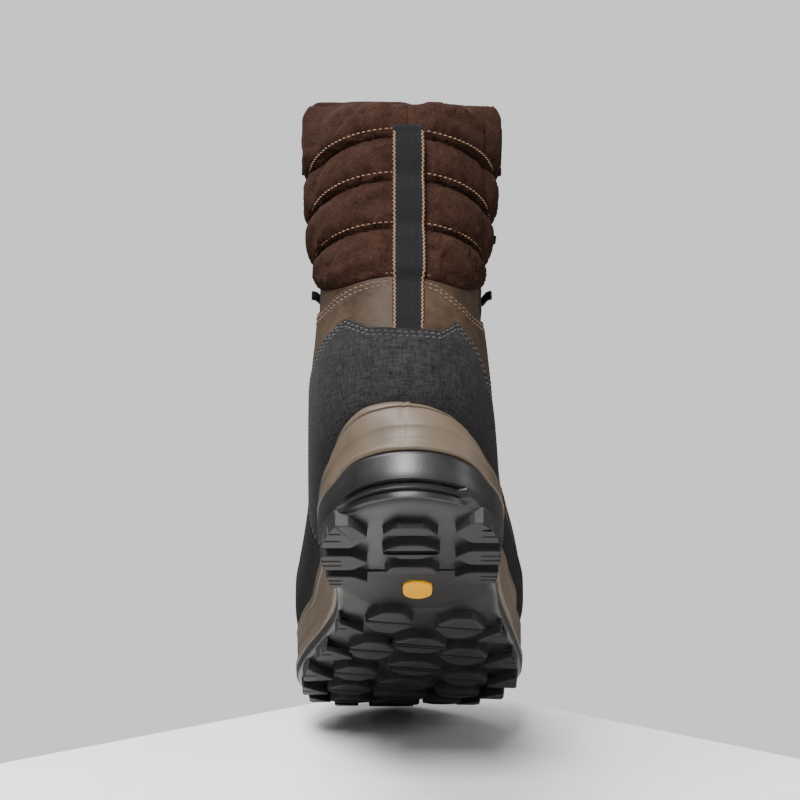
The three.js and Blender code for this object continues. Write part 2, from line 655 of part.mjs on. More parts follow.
function lacingStation(t, side) {
  const z = lastPoint(t, Math.PI / 2).z;
  const phi = phiAtX(t, CENTRE_X + side * (throatHalf(z) + STATION_IN_FROM_EDGE));
  const seat = lastOffset(t, phi, OVERLAY[1] + SEAT_CLEARANCE);
  const out = lastNormal(t, phi);
  const up = lastOffset(t + 0.1, phi, 0).sub(lastOffset(t - 0.1, phi, 0)).normalize();
  const away = new THREE.Vector3().crossVectors(up, out).normalize().multiplyScalar(-side);
  const along = new THREE.Vector3().crossVectors(away, out).normalize();
  if (along.z < 0) along.negate();
  return { t, phi, seat, out, away, along };
}

// Sections are drawn with x away from the throat and y outwards from the leather.
function loopSection() {
  const outer = [
    [-TUNNEL_HALF - BAR, 0], [9, 0], [9, PLATE], [TUNNEL_HALF + BAR, PLATE],
    [TUNNEL_HALF + BAR, PLATE + TUNNEL_HEIGHT], [TUNNEL_HALF, PLATE + TUNNEL_HEIGHT + BAR],
    [-TUNNEL_HALF, PLATE + TUNNEL_HEIGHT + BAR], [-TUNNEL_HALF - BAR, PLATE + TUNNEL_HEIGHT],
  ];
  const shape = new THREE.Shape(outer.map(([x, y]) => new THREE.Vector2(x, y)));
  const hole = [
    [-TUNNEL_HALF, PLATE], [TUNNEL_HALF, PLATE], [TUNNEL_HALF, PLATE + TUNNEL_HEIGHT - 0.6],
    [TUNNEL_HALF - 0.6, PLATE + TUNNEL_HEIGHT], [-TUNNEL_HALF + 0.6, PLATE + TUNNEL_HEIGHT],
    [-TUNNEL_HALF, PLATE + TUNNEL_HEIGHT - 0.6],
  ];
  shape.holes.push(new THREE.Path(hole.map(([x, y]) => new THREE.Vector2(x, y))));
  return shape;
}

function hookSection() {
  const top = PLATE + TUNNEL_HEIGHT;
  const outline = [
    [-TUNNEL_HALF - BAR, 0], [9, 0], [9, PLATE], [-TUNNEL_HALF, PLATE], [-TUNNEL_HALF, top - 0.6],
    [-TUNNEL_HALF + 0.6, top], [3.4, top], [5.8, top + 1.6], [5.2, top + 2.6], [3, top + BAR],
    [-TUNNEL_HALF, top + BAR], [-TUNNEL_HALF - BAR, top],
  ];
  return new THREE.Shape(outline.map(([x, y]) => new THREE.Vector2(x, y)));
}

function addHardware() {
  const sections = { loop: loopSection(), hook: hookSection() };
  LACING.forEach(([t, kind], row) => {
    for (const side of [-1, 1]) {
      const { seat, out, away, along } = lacingStation(t, side);
      const body = new THREE.ExtrudeGeometry(sections[kind], { depth: HARDWARE_LENGTH, bevelEnabled: false });
      body.translate(0, 0, -HARDWARE_LENGTH / 2);
      const rivet = new THREE.CylinderGeometry(1.6, 2.2, 1, 8).translate(6.4, PLATE + 0.4, 0);
      const frame = new THREE.Matrix4().makeBasis(away, out, along).setPosition(seat);
      const solid = toSolid(body).add(toSolid(rivet));
      const placed = toSolid(toGeometry(solid).applyMatrix4(frame));
      const sideName = side < 0 ? "medial" : "lateral";
      addPiece(`${sideName}_lace_${kind}_${row + 1}`, placed, "metal");
    }
  });
}

// ---------------------------------------------------------------- laces

const TUBE_SIDES = 8;

// A round tube with one ring of points at each point of its route, and flat ends.
function tube(route, diameter) {
  const tangent = (i) => {
    const before = route[Math.max(i - 1, 0)];
    return route[Math.min(i + 1, route.length - 1)].clone().sub(before).normalize();
  };
  const points = [];
  let side = new THREE.Vector3(0, 0, 1);
  route.forEach((centre, i) => {
    const ahead = tangent(i);
    side = side.clone().addScaledVector(ahead, -side.dot(ahead)).normalize();
    const other = ahead.clone().cross(side);
    for (let k = 0; k < TUBE_SIDES; k++) {
      const angle = (2 * Math.PI * k) / TUBE_SIDES;
      const [a, b] = [(diameter / 2) * Math.cos(angle), (diameter / 2) * Math.sin(angle)];
      points.push(centre.clone().addScaledVector(side, a).addScaledVector(other, b));
    }
  });
  const faces = [];
  const last = (route.length - 1) * TUBE_SIDES;
  for (let k = 0; k < TUBE_SIDES; k++) {
    const m = (k + 1) % TUBE_SIDES;
    if (k > 0) faces.push([0, m, k], [last, last + k, last + m]);
    for (let start = 0; start < last; start += TUBE_SIDES) {
      faces.push([start + k, start + m, start + TUBE_SIDES + m], [start + k, start + TUBE_SIDES + m, start + TUBE_SIDES + k]);
    }
  }
  return solidFromFaces(points, faces.filter(([a, b, c]) => a !== b && b !== c && a !== c));
}

const LACE_SEAT = PLATE + LACE_DIAMETER / 2 + GAP;
const LACE_LIFT = OVERLAY[1] + SEAT_CLEARANCE + LACE_SEAT;
// The lace runs straight through its loop or hook and this far past the middle.
const LACE_STRAIGHT = HARDWARE_LENGTH / 2 + 4;

// Points on the front, each given as x, height and distance from the last.
function frontRoute(list) {
  return list.map(([x, z, lift]) => lastOffset(...frontAt(x, z), lift));
}

// Where the lace enters or leaves a lacing station, on the last's own surface.
function stationEnd(row, side, upwards) {
  const { t, phi, along } = lacingStation(LACING[row][0], side);
  return lastPoint(t, phi).addScaledVector(along, upwards);
}

// One crossing over the tongue, from one station end to another, humped in the middle.
function crossing(from, to, hump, sag = 0) {
  return frontRoute([0.25, 0.5, 0.75].map((share) => {
    const point = from.clone().lerp(to, share);
    const middle = 1 - Math.abs(2 * share - 1);
    return [point.x, point.z - sag * middle, LACE_LIFT + hump * middle];
  }));
}

function strand(firstSide, hump) {
  const points = [];
  LACING.forEach((_, row) => {
    const side = row % 2 === 0 ? firstSide : -firstSide;
    for (const end of [-LACE_STRAIGHT, LACE_STRAIGHT]) {
      const { seat, out, along } = lacingStation(LACING[row][0], side);
      points.push(seat.clone().addScaledVector(out, LACE_SEAT).addScaledVector(along, end));
    }
    if (row === LACING.length - 1) return;
    const next = stationEnd(row + 1, -side, -LACE_STRAIGHT);
    points.push(...crossing(stationEnd(row, side, LACE_STRAIGHT), next, hump));
  });
  return points;
}

const KNOT = { t: 19.1, lift: 7.5, size: [7.5, 5.5, 6] };

function knotCentre() {
  return lastOffset(KNOT.t, Math.PI / 2, KNOT.lift);
}

// Free stretches lie on the tongue and eyestays: x from the middle, height, distance from the last.
const TO_KNOT = [[37, 249, 6], [30, 255, 7], [20, 260, 7.5], [11, 262, 8]];
const BOW_LOOP = [
  [7.5, 268, 9.5], [13, 271, 10.5], [19, 270, 11.5], [24, 264, 13], [27, 254, 14], [27.5, 243, 14.5],
  [25, 234, 14.5], [20, 231, 14.5], [16, 237, 14], [13.5, 246, 13], [9.5, 255, 12], [6, 258, 12],
];
const LACE_END = [
  [3, 253, 13.5], [5.5, 246, 14], [8.5, 236, 14], [9, 224, 14], [7.5, 212, 14], [8.5, 200, 14],
  [10.5, 189, 14], [10, 178, 14], [9.5, 170, 14],
];
const AGLET_LENGTH = 16;

const onSide = (list, side) => frontRoute(list.map(([x, z, lift]) => [CENTRE_X + side * x, z, lift]));

function addLaces() {
  const down = reversed(strand(1, 0));
  const up = strand(-1, 1.25 * LACE_DIAMETER);
  const knot = knotCentre();
  const lastSide = LACING.length % 2 === 0 ? -1 : 1;
  const bottom = crossing(stationEnd(0, 1, -LACE_STRAIGHT), stationEnd(0, -1, -LACE_STRAIGHT), 0, 4);
  const whole = [
    ...reversed(onSide(TO_KNOT, lastSide)), ...down, ...bottom, ...up, ...onSide(TO_KNOT, -lastSide),
  ];
  addPiece("lace_run", tube(whole, LACE_DIAMETER), "lace");

  const ball = new THREE.SphereGeometry(1, 10, 8).scale(...KNOT.size).translate(knot.x, knot.y, knot.z);
  addPiece("lace_knot", toSolid(ball), "lace");
  for (const [side, name] of [[-1, "medial"], [1, "lateral"]]) {
    addPiece(`${name}_bow_loop`, tube(onSide(BOW_LOOP, side), LACE_DIAMETER), "lace");
    const end = onSide(LACE_END, side);
    addPiece(`${name}_lace_end`, tube(end, LACE_DIAMETER), "lace");
    const [before, tip] = end.slice(-2);
    const direction = tip.clone().sub(before).normalize();
    const start = tip.clone().addScaledVector(direction, GAP);
    const aglet = tube([start, start.clone().addScaledVector(direction, AGLET_LENGTH)], LACE_DIAMETER + 0.4);
    addPiece(`${name}_aglet`, aglet, "metal");
  }
}

addSole();
addUpper();
addInside();
addBackStrap();
addTongue();
addHardware();
addLaces();

export default boot;
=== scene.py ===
"""Looks of an insulated hunting boot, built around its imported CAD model.

The boot's surface is a last: rings that swing from upright at the toe to level at the top of the shaft. Every
panel of the upper is a sheet of that surface, cut along lines drawn in side view, and given its own
thickness. Tables hold millimetres, with y measured from the back of the heel; to_frame() turns them into the
frame's metres.
"""

import math

import bmesh
import bpy
import numpy as np
from mathutils import Matrix, Vector
from mathutils.bvhtree import BVHTree


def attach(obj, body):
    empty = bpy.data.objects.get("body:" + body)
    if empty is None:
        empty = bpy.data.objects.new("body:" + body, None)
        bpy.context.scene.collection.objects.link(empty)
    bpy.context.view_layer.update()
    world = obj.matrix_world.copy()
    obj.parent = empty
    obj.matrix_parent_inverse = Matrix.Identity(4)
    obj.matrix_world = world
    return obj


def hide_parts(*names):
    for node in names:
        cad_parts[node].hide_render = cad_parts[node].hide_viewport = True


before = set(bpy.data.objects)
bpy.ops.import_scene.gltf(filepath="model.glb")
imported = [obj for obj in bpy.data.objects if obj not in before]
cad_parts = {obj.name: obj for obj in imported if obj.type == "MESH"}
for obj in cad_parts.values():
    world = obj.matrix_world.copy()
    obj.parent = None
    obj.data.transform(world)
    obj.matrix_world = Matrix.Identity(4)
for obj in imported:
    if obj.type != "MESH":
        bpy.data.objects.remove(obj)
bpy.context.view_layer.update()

MM = 0.001
HEEL_REST = 51.3  # from the back of the heel to the frame's origin
PI = math.pi

# ------------------------------------------------------------------ the same design as the CAD model

# lowest or rearmost point (y, z), highest or foremost point (y, z), half width, sideways shift,
# how far up the widest place is, squareness of the lower and of the upper half
RINGS = np.array([
    [301.5, 40, 302, 43.5, 4, -8, 0.5, 2.2, 2.2],
    [299, 35, 300.5, 51, 17, -8, 0.45, 2.5, 2.2],
    [291, 31, 295, 60, 29, -7.5, 0.4, 3, 2.3],
    [278, 28, 282, 67, 39.5, -6, 0.4, 3.5, 2.4],
    [260, 26, 263, 74, 48.5, -4, 0.4, 4, 2.5],
    [238, 24.5, 240, 81, 54.5, -2, 0.4, 4, 2.6],
    [214, 24, 215, 89, 57, -0.5, 0.4, 4, 2.6],
    [190, 25, 190, 99, 54.5, -0.5, 0.42, 4, 2.6],
    [164, 27, 168, 110, 50.5, -1.5, 0.44, 3.8, 2.5],
    [134, 30, 156, 121, 47, -2.5, 0.46, 3.6, 2.4],
    [100, 33, 148, 133, 45.5, -3.5, 0.48, 3.4, 2.3],
    [62, 36, 142, 144, 44.5, -4, 0.5, 3.2, 2.2],
    [30, 40, 137.5, 153, 43.5, -4.5, 0.5, 2.9, 2.2],
    [10.5, 52, 134, 161, 42.5, -5, 0.5, 2.6, 2.2],
    [4, 72, 132, 168, 41, -5, 0.5, 2.4, 2.2],
    [5.5, 96, 130.5, 177, 39.5, -5.5, 0.5, 2.2, 2.2],
    [10, 126, 129.5, 192, 39.5, -5.5, 0.5, 2.1, 2.2],
    [12.5, 150, 129.5, 210, 42, -5.5, 0.5, 2.1, 2.2],
    [13, 178, 130.5, 233, 44.5, -5, 0.5, 2.1, 2.2],
    [12, 205, 132.5, 259, 45.5, -4.5, 0.5, 2.1, 2.2],
    [10, 227, 135, 284, 46, -4.5, 0.5, 2.1, 2.2],
    [7.5, 247, 137.5, 309, 46.5, -4.5, 0.5, 2.1, 2.2],
])
LATERAL_EDGE = np.array([
    [0, -2], [14, 0.5], [27, 8], [38, 24], [43, 45], [43, 72], [41, 100], [42.5, 125], [46.5, 150],
    [51.5, 175], [55, 195], [57, 212], [56.5, 228], [52, 246], [43, 266], [29, 285], [10, 300], [-8, 306.5],
])
MEDIAL_EDGE = np.array([
    [0, -2], [-14, 0.5], [-27, 8], [-38, 24], [-43.5, 45], [-43, 72], [-38.5, 100], [-36, 125], [-38, 150],
    [-45, 175], [-52, 195], [-56.5, 212], [-58.5, 228], [-57.5, 246], [-52.5, 265], [-42, 284], [-27, 299],
    [-8, 306.5],
])
CENTRE_X = -4.5
STRAP_X = -1.5
STRAP_WIDTH = 14.5
LUG_DEPTH = 5
SPRING_START = 205
SPRING_RADIUS = 236
LACE_DIAMETER = 3.6


def to_frame(points):
    points = np.asarray(points, dtype=float)
    return (points - np.array([0, HEEL_REST, 0])) * MM


def blend_rows(rows, t):
    """Catmull-Rom through equal rows of numbers, at an array of places."""
    t = np.atleast_1d(np.asarray(t, dtype=float))
    last = len(rows) - 1
    i = np.clip(np.floor(t).astype(int), 0, last - 1)
    f = (t - i)[:, None]
    a, b = rows[np.maximum(i - 1, 0)], rows[i]
    c, d = rows[i + 1], rows[np.minimum(i + 2, last)]
    slope_b, slope_c = (c - a) / 2, (d - b) / 2
    f2, f3 = f * f, f * f * f
    return ((2 * f3 - 3 * f2 + 1) * b + (f3 - 2 * f2 + f) * slope_b
            + (3 * f2 - 2 * f3) * c + (f3 - f2) * slope_c)


def last_point(t, phi):
    """Points of the last; phi is 0 on the outer side, 90 degrees in front or on top."""
    phi = np.atleast_1d(np.asarray(phi, dtype=float))
    t = np.atleast_1d(np.asarray(t, dtype=float))
    yb, zb, yt, zt, half, shift, belly, lower, upper = blend_rows(RINGS, np.maximum(t, 0)).T
    shrink = np.clip(1 + t, 0, 1)  # before the first ring the toe closes to a point
    c, s = np.cos(phi) * shrink, np.sin(phi) * shrink
    power = np.where(s < 0, lower, upper)
    reach = (np.abs(np.cos(phi)) ** power + np.abs(np.sin(phi)) ** power) ** (-1 / power)
    share = belly + reach * s * np.where(s < 0, belly, 1 - belly)
    return np.stack([shift + half * reach * c, yb + (yt - yb) * share, zb + (zt - zb) * share], axis=1)


def last_normal(t, phi):
    step = 0.02
    t = np.atleast_1d(np.asarray(t, dtype=float))
    phi = np.atleast_1d(np.asarray(phi, dtype=float))
    on = np.maximum(t, 0)
    along_t = last_point(on + step, phi) - last_point(np.maximum(on - step, 0), phi)
    along_phi = last_point(on, phi + step) - last_point(on, phi - step)
    normal = np.cross(along_phi, along_t)
    normal = normal / np.linalg.norm(normal, axis=1)[:, None]
    ahead = np.clip(-t, 0, 1)[:, None]
    normal = normal * (1 - ahead) + np.array([0, 1, 0]) * ahead
    return normal / np.linalg.norm(normal, axis=1)[:, None]


def last_offset(t, phi, offset):
    return last_point(t, phi) + last_normal(t, phi) * np.asarray(offset).reshape(-1, 1)


def soften(value, low, high):
    f = np.clip((np.asarray(value, dtype=float) - low) / (high - low), 0, 1)
    return f * f * (3 - 2 * f)


def bisect(low, high, is_below, shape):
    """The value, for each of many places at once, up to which is_below holds."""
    low, high = np.full(shape, float(low)), np.full(shape, float(high))
    for _ in range(40):
        middle = (low + high) / 2
        below = is_below(middle)
        low, high = np.where(below, middle, low), np.where(below, high, middle)
    return (low + high) / 2


def phi_at_x(t, x, back=False):
    """The angle at which a ring's front or back half passes through x."""
    t, x = np.broadcast_arrays(np.atleast_1d(np.asarray(t, float)), np.atleast_1d(np.asarray(x, float)))
    if back:
        return bisect(PI, 2 * PI, lambda phi: last_point(t, phi)[:, 0] < x, t.shape)
    return bisect(0, PI, lambda phi: last_point(t, phi)[:, 0] > x, t.shape)


def front_at(x, z):
    """The ring and angle at which the front surface has the given x and height."""
    x, z = np.broadcast_arrays(np.atleast_1d(np.asarray(x, float)), np.atleast_1d(np.asarray(z, float)))
    t = bisect(7, len(RINGS) - 1, lambda ring: last_point(ring, phi_at_x(ring, x))[:, 2] < z, x.shape)
    return t, phi_at_x(t, x)


def throat_half(z):
    return 13 + 9 * soften(z, 106, 150) + 9 * soften(z, 140, 290)


def spring(y):
    ahead = np.asarray(y) - SPRING_START
    return np.where(ahead > 0, ahead ** 2 / (2 * SPRING_RADIUS), 0.0)


# ------------------------------------------------------------------ camera, table and light

VIEW_TILT = math.radians(26.2)  # the camera looks up at the standing boot by this much
VIEW_DISTANCE = 1600  # from the heel to the camera
VIEW_BELOW = 49.55  # how far the heel lies below the middle of the view
FOCAL_LENGTH = 157  # mm, on a 36 mm sensor
CAMERA_X = -5.3
TABLE_TILT = math.radians(33)  # the boot is tipped forward onto its toe by this much


def add_camera():
    ahead = np.array([0, math.cos(VIEW_TILT), math.sin(VIEW_TILT)])
    down = np.array([0, math.sin(VIEW_TILT), -math.cos(VIEW_TILT)])
    place = np.array([CAMERA_X, 0, 0]) - VIEW_DISTANCE * ahead - VIEW_BELOW * down
    camera = bpy.data.cameras.new("camera")
    camera.lens = FOCAL_LENGTH
    camera.sensor_width = 36
    camera.clip_end = 20
    holder = bpy.data.objects.new("camera", camera)
    bpy.context.collection.objects.link(holder)
    right = np.cross(ahead, -down)
    rotation = Matrix([right, -down, -ahead]).transposed()
    holder.matrix_world = Matrix.Translation(Vector(to_frame(place))) @ rotation.to_4x4()
    bpy.context.scene.camera = holder


# ------------------------------------------------------------------ materials

def new_material(name):
    material = bpy.data.materials.new(name)
    material.use_nodes = True
    tree = material.node_tree
    shader = tree.nodes["Principled BSDF"]
    return material, tree, shader


def node(tree, kind, inputs=None, **settings):
    made = tree.nodes.new(kind)
    for key, value in settings.items():
        setattr(made, key, value)
    for key, value in (inputs or {}).items():
        socket = made.inputs[key]
        if isinstance(value, bpy.types.NodeSocket):
            tree.links.new(value, socket)
        else:
            socket.default_value = value
    return made


def object_coords(tree, scale=(1, 1, 1)):
    coords = node(tree, "ShaderNodeTexCoord")
    return node(tree, "ShaderNodeMapping", {"Vector": coords.outputs["Object"], "Scale": scale}).outputs[0]


def noise(tree, vector, scale, detail=4, roughness=0.55, distortion=0.0):
    made = node(tree, "ShaderNodeTexNoise", {
        "Vector": vector, "Scale": scale, "Detail": detail, "Roughness": roughness, "Distortion": distortion,
    })
    return made.outputs["Fac"]


def ramp(tree, value, stops):
    made = node(tree, "ShaderNodeValToRGB", {"Fac": value})
    elements = made.color_ramp.elements
    while len(elements) < len(stops):
        elements.new(0.5)
    for element, (place, colour) in zip(elements, stops):
        element.position = place
        element.color = (*colour, 1)
    return made.outputs["Color"]


def math_node(tree, operation, a, b=0.0):
    made = tree.nodes.new("ShaderNodeMath")
    made.operation = operation
    for socket, value in zip(made.inputs, (a, b)):
        if isinstance(value, bpy.types.NodeSocket):
            tree.links.new(value, socket)
        else:
            socket.default_value = value
    return made.outputs[0]


def mix_colours(tree, factor, a, b, blend="MIX"):
    made = tree.nodes.new("ShaderNodeMix")
    made.data_type = "RGBA"
    made.blend_type = blend
    for index, value in ((0, factor), (6, a), (7, b)):
        socket = made.inputs[index]
        if isinstance(value, bpy.types.NodeSocket):
            tree.links.new(value, socket)
        else:
            socket.default_value = value if index == 0 else (*value, 1)
    return made.outputs[2]


def bump(tree, height, distance, strength=1.0, below=None):
    inputs = {"Height": height, "Distance": distance, "Strength": strength}
    if below is not None:
        inputs["Normal"] = below
    return node(tree, "ShaderNodeBump", inputs).outputs[0]


def srgb(r, g, b):
    """A colour seen on a screen, 0 to 255, as the linear colour that shaders take."""
    channels = [value / 255 for value in (r, g, b)]
    return tuple(c / 12.92 if c <= 0.04045 else ((c + 0.055) / 1.055) ** 2.4 for c in channels)


def leather_material():
    """Oiled nubuck: cloudy brown, fine pores and creases."""
    material, tree, shader = new_material("oiled_nubuck")
    coords = object_coords(tree)
    clouds = noise(tree, coords, 38, 5, 0.6, 0.4)
    blotches = noise(tree, coords, 160, 4, 0.6)
    colour = ramp(tree, clouds, [
        (0.3, srgb(44, 33, 23)), (0.5, srgb(60, 47, 35)), (0.72, srgb(76, 61, 47)),
    ])
    dark = ramp(tree, blotches, [(0.35, (0.72, 0.7, 0.68)), (0.65, (1.08, 1.07, 1.06))])
    colour = mix_colours(tree, 0.6, colour, dark, "MULTIPLY")
    cells = node(tree, "ShaderNodeTexVoronoi", {"Vector": coords, "Scale": 1500}, feature="F1")
    grain = cells.outputs["Distance"]
    fine = noise(tree, coords, 2200, 3, 0.6)
    creases = noise(tree, object_coords(tree, (1, 1, 2.4)), 90, 6, 0.62, 0.9)
    normal = bump(tree, creases, 0.0012, 0.45)
    normal = bump(tree, grain, 0.0002, 0.35, normal)
    normal = bump(tree, fine, 0.00012, 0.5, normal)
    tree.links.new(colour, shader.inputs["Base Color"])
    tree.links.new(normal, shader.inputs["Normal"])
    rough = ramp(tree, clouds, [(0.3, (0.5, 0.5, 0.5)), (0.7, (0.68, 0.68, 0.68))])
    tree.links.new(rough, shader.inputs["Roughness"])
    shader.inputs["Specular IOR Level"].default_value = 0.16
    return material


def suede_material(name, dark, light, weave=900):
    """Brushed fabric or suede: a short nap over a fine weave, with lighter swept patches."""
    material, tree, shader = new_material(name)
    coords = object_coords(tree)
    patches = noise(tree, coords, 130, 5, 0.7, 0.3)
    nap = noise(tree, object_coords(tree, (1, 1, 0.45)), 1100, 5, 0.75)
    tufts = noise(tree, coords, 420, 4, 0.7)
    colour = ramp(tree, patches, [(0.3, dark), (0.72, light)])
    flecks = ramp(tree, nap, [(0.34, (0.42, 0.4, 0.38)), (0.64, (1.35, 1.3, 1.26))])
    colour = mix_colours(tree, 0.85, colour, flecks, "MULTIPLY")
    threads = node(tree, "ShaderNodeTexVoronoi", {"Vector": coords, "Scale": weave}).outputs["Distance"]
    normal = bump(tree, tufts, 0.0008, 0.5)
    normal = bump(tree, threads, 0.0004, 0.6, normal)
    normal = bump(tree, nap, 0.0005, 0.8, normal)
    tree.links.new(colour, shader.inputs["Base Color"])
    tree.links.new(normal, shader.inputs["Normal"])
    shader.inputs["Roughness"].default_value = 0.9
    shader.inputs["Specular IOR Level"].default_value = 0.08
    shader.inputs["Sheen Weight"].default_value = 0.06
    shader.inputs["Sheen Roughness"].default_value = 0.4
    shader.inputs["Sheen Tint"].default_value = (*srgb(150, 110, 86), 1)
    return material


def canvas_material(name, dark, light, pitch=0.0009):
    """Coarse plain-weave canvas with slubs: threads cross at right angles, with a painted highlight where they
    rise and painted shade in the weave's hollows.
    """
    material, tree, shader = new_material(name)
    coords = object_coords(tree)
    warp = noise(tree, object_coords(tree, (1, 1, 0.14)), 1 / pitch, 3, 0.6)
    weft = noise(tree, object_coords(tree, (0.14, 0.14, 1)), 1 / pitch, 3, 0.6)
    half_warp = math_node(tree, "MULTIPLY", warp, 0.5)
    half_weft = math_node(tree, "MULTIPLY", weft, 0.5)
    level = math_node(tree, "ADD", half_warp, half_weft)
    slubs = noise(tree, object_coords(tree, (1, 1, 1.6)), 520, 4, 0.65)
    fibres = noise(tree, coords, 2400, 3, 0.7)
    clouds = noise(tree, coords, 40, 4, 0.6)
    mostly_level = math_node(tree, "MULTIPLY", level, 0.75)
    some_slubs = math_node(tree, "MULTIPLY", slubs, 0.25)
    weave_shade_and_slubs = math_node(tree, "ADD", mostly_level, some_slubs)
    # painted shade in the weave's low places and a painted highlight on its raised threads, mixed with the
    # slubs' tone
    colour = ramp(tree, weave_shade_and_slubs, [(0.38, dark), (0.62, light)])
    shade = ramp(tree, clouds, [(0.3, (0.8, 0.8, 0.8)), (0.7, (1.15, 1.15, 1.15))])
    colour = mix_colours(tree, 0.7, colour, shade, "MULTIPLY")
    normal = bump(tree, slubs, 0.0004, 0.5)
    normal = bump(tree, level, 0.0006, 0.8, normal)
    normal = bump(tree, fibres, 0.0001, 0.6, normal)
    tree.links.new(colour, shader.inputs["Base Color"])
    tree.links.new(normal, shader.inputs["Normal"])
    shader.inputs["Roughness"].default_value = 0.8
    shader.inputs["Specular IOR Level"].default_value = 0.1
    shader.inputs["Sheen Weight"].default_value = 0.02
    return material


def rubber_material(name, low, high, roughness=(0.42, 0.6), grain=900, shine=0.2):
    """Moulded rubber: fine grain and a soft shine on rounded edges."""
    material, tree, shader = new_material(name)
    coords = object_coords(tree)
    clouds = noise(tree, coords, 50, 5, 0.6)
    specks = noise(tree, coords, grain, 3, 0.6)
    colour = ramp(tree, clouds, [(0.3, low), (0.72, high)])
    tree.links.new(colour, shader.inputs["Base Color"])
    rough = ramp(tree, clouds, [(0.3, (roughness[0],) * 3), (0.7, (roughness[1],) * 3)])
    tree.links.new(rough, shader.inputs["Roughness"])
    normal = bump(tree, specks, 0.00015, 0.35)
    tree.links.new(normal, shader.inputs["Normal"])
    shader.inputs["Specular IOR Level"].default_value = shine
    return material


def foam_material():
    """Satin brown polyurethane with a faint mottle."""
    material, tree, shader = new_material("polyurethane")
    coords = object_coords(tree)
    clouds = noise(tree, coords, 30, 5, 0.6)
    specks = noise(tree, coords, 700, 3, 0.6)
    colour = ramp(tree, clouds, [(0.28, srgb(72, 62, 51)), (0.72, srgb(92, 80, 67))])
    tree.links.new(colour, shader.inputs["Base Color"])
    normal = bump(tree, specks, 0.0001, 0.3)
    tree.links.new(normal, shader.inputs["Normal"])
    shader.inputs["Roughness"].default_value = 0.45
    shader.inputs["Specular IOR Level"].default_value = 0.3
    return material


def webbing_material(name, thread, gap, pitch):
    """Herringbone webbing: slanting ribs that turn over at each stripe."""
    material, tree, shader = new_material(name)
    coords = object_coords(tree)
    parts = node(tree, "ShaderNodeSeparateXYZ", {"Vector": coords})
    across, up = parts.outputs[0], parts.outputs[2]
    stripe = math_node(tree, "PINGPONG", across, pitch * 1.6)
    slanted = math_node(tree, "ADD", up, stripe)
    wave = math_node(tree, "SINE", math_node(tree, "MULTIPLY", slanted, 2 * PI / pitch))
    level = math_node(tree, "MULTIPLY_ADD", wave, 0.5)
    level.node.inputs[2].default_value = 0.5
    colour = ramp(tree, level, [(0.2, gap), (0.8, thread)])
    fibres = noise(tree, coords, 2600, 3, 0.6)
    tree.links.new(colour, shader.inputs["Base Color"])
    normal = bump(tree, level, 0.0004, 0.8)
    normal = bump(tree, fibres, 0.0001, 0.5, normal)
    tree.links.new(normal, shader.inputs["Normal"])
    shader.inputs["Roughness"].default_value = 0.8
    shader.inputs["Specular IOR Level"].default_value = 0.1
    shader.inputs["Sheen Weight"].default_value = 0.03
    return material


def thread_material(name, low, high):
    material, tree, shader = new_material(name)
    coords = object_coords(tree)
    twist = noise(tree, coords, 1800, 3, 0.6)
    colour = ramp(tree, twist, [(0.3, low), (0.7, high)])
    tree.links.new(colour, shader.inputs["Base Color"])
    tree.links.new(bump(tree, twist, 0.0002, 0.6), shader.inputs["Normal"])
    shader.inputs["Roughness"].default_value = 0.6
    shader.inputs["Sheen Weight"].default_value = 0.2
    return material


def lacquer_material():
    """Black lacquered steel, slightly worn."""
    material, tree, shader = new_material("black_lacquer")
    wear = noise(tree, object_coords(tree), 400, 4, 0.6)
    colour = ramp(tree, wear, [(0.45, (0.012, 0.012, 0.013)), (0.8, (0.05, 0.05, 0.052))])
    tree.links.new(colour, shader.inputs["Base Color"])
    rough = ramp(tree, wear, [(0.3, (0.22,) * 3), (0.8, (0.42,) * 3)])
    tree.links.new(rough, shader.inputs["Roughness"])
    shader.inputs["Metallic"].default_value = 0.6
    return material


def make_materials():
    return {
        "leather": leather_material(),
        "suede": suede_material("brushed_suede", srgb(36, 22, 17), srgb(54, 35, 27)),
        "tongue": suede_material("woven_nylon", srgb(44, 36, 30), srgb(66, 55, 46), 1200),
        "lining": suede_material("napped_lining", srgb(30, 26, 24), srgb(52, 46, 42), 700),
        # the textile's darker colour is painted shade in the weave's hollows, its paler one a painted highlight
        # on the raised threads
        "textile": canvas_material("nubby_textile", srgb(14, 13, 14), srgb(46, 44, 45)),
        "rubber": rubber_material("moulded_rubber", srgb(20, 19, 20), srgb(30, 29, 30), (0.34, 0.46),
                                  shine=0.45),
        "tread": rubber_material("tread_rubber", srgb(26, 25, 26), srgb(42, 41, 41), (0.5, 0.66), shine=0.3),
        "rand": rubber_material("rand_rubber", srgb(16, 15, 16), srgb(26, 25, 26), (0.6, 0.8), 1500),
        "shank": rubber_material("satin_shank", srgb(30, 29, 29), srgb(38, 37, 37), (0.35, 0.5), 500, 0.25),
        "foam": foam_material(),
        "insert": rubber_material("yellow_insert", srgb(200, 138, 2), srgb(212, 150, 6), (0.4, 0.5), 500),
        "webbing": webbing_material("herringbone_webbing", srgb(30, 30, 33), srgb(8, 8, 9), 0.0011),
        "tan_thread": thread_material("tan_thread", srgb(98, 68, 44), srgb(140, 102, 70)),
        "brown_thread": thread_material("brown_thread", srgb(66, 45, 30), srgb(98, 70, 48)),
        "black_thread": thread_material("black_thread", srgb(18, 17, 18), srgb(52, 50, 52)),
        "lace": webbing_material("lace_braid", srgb(70, 56, 44), srgb(26, 21, 18), 0.0016),
        "metal": lacquer_material(),
        "aglet": rubber_material("aglet_film", srgb(30, 27, 26), srgb(44, 40, 38), (0.2, 0.3), 500),
        "board": rubber_material("fibre_board", srgb(150, 128, 98), srgb(176, 152, 120), (0.8, 0.95), 1500),
        "footbed": suede_material("footbed_knit", srgb(34, 34, 38), srgb(58, 58, 64), 1100),
    }


MATERIALS = make_materials()

# ------------------------------------------------------------------ pieces


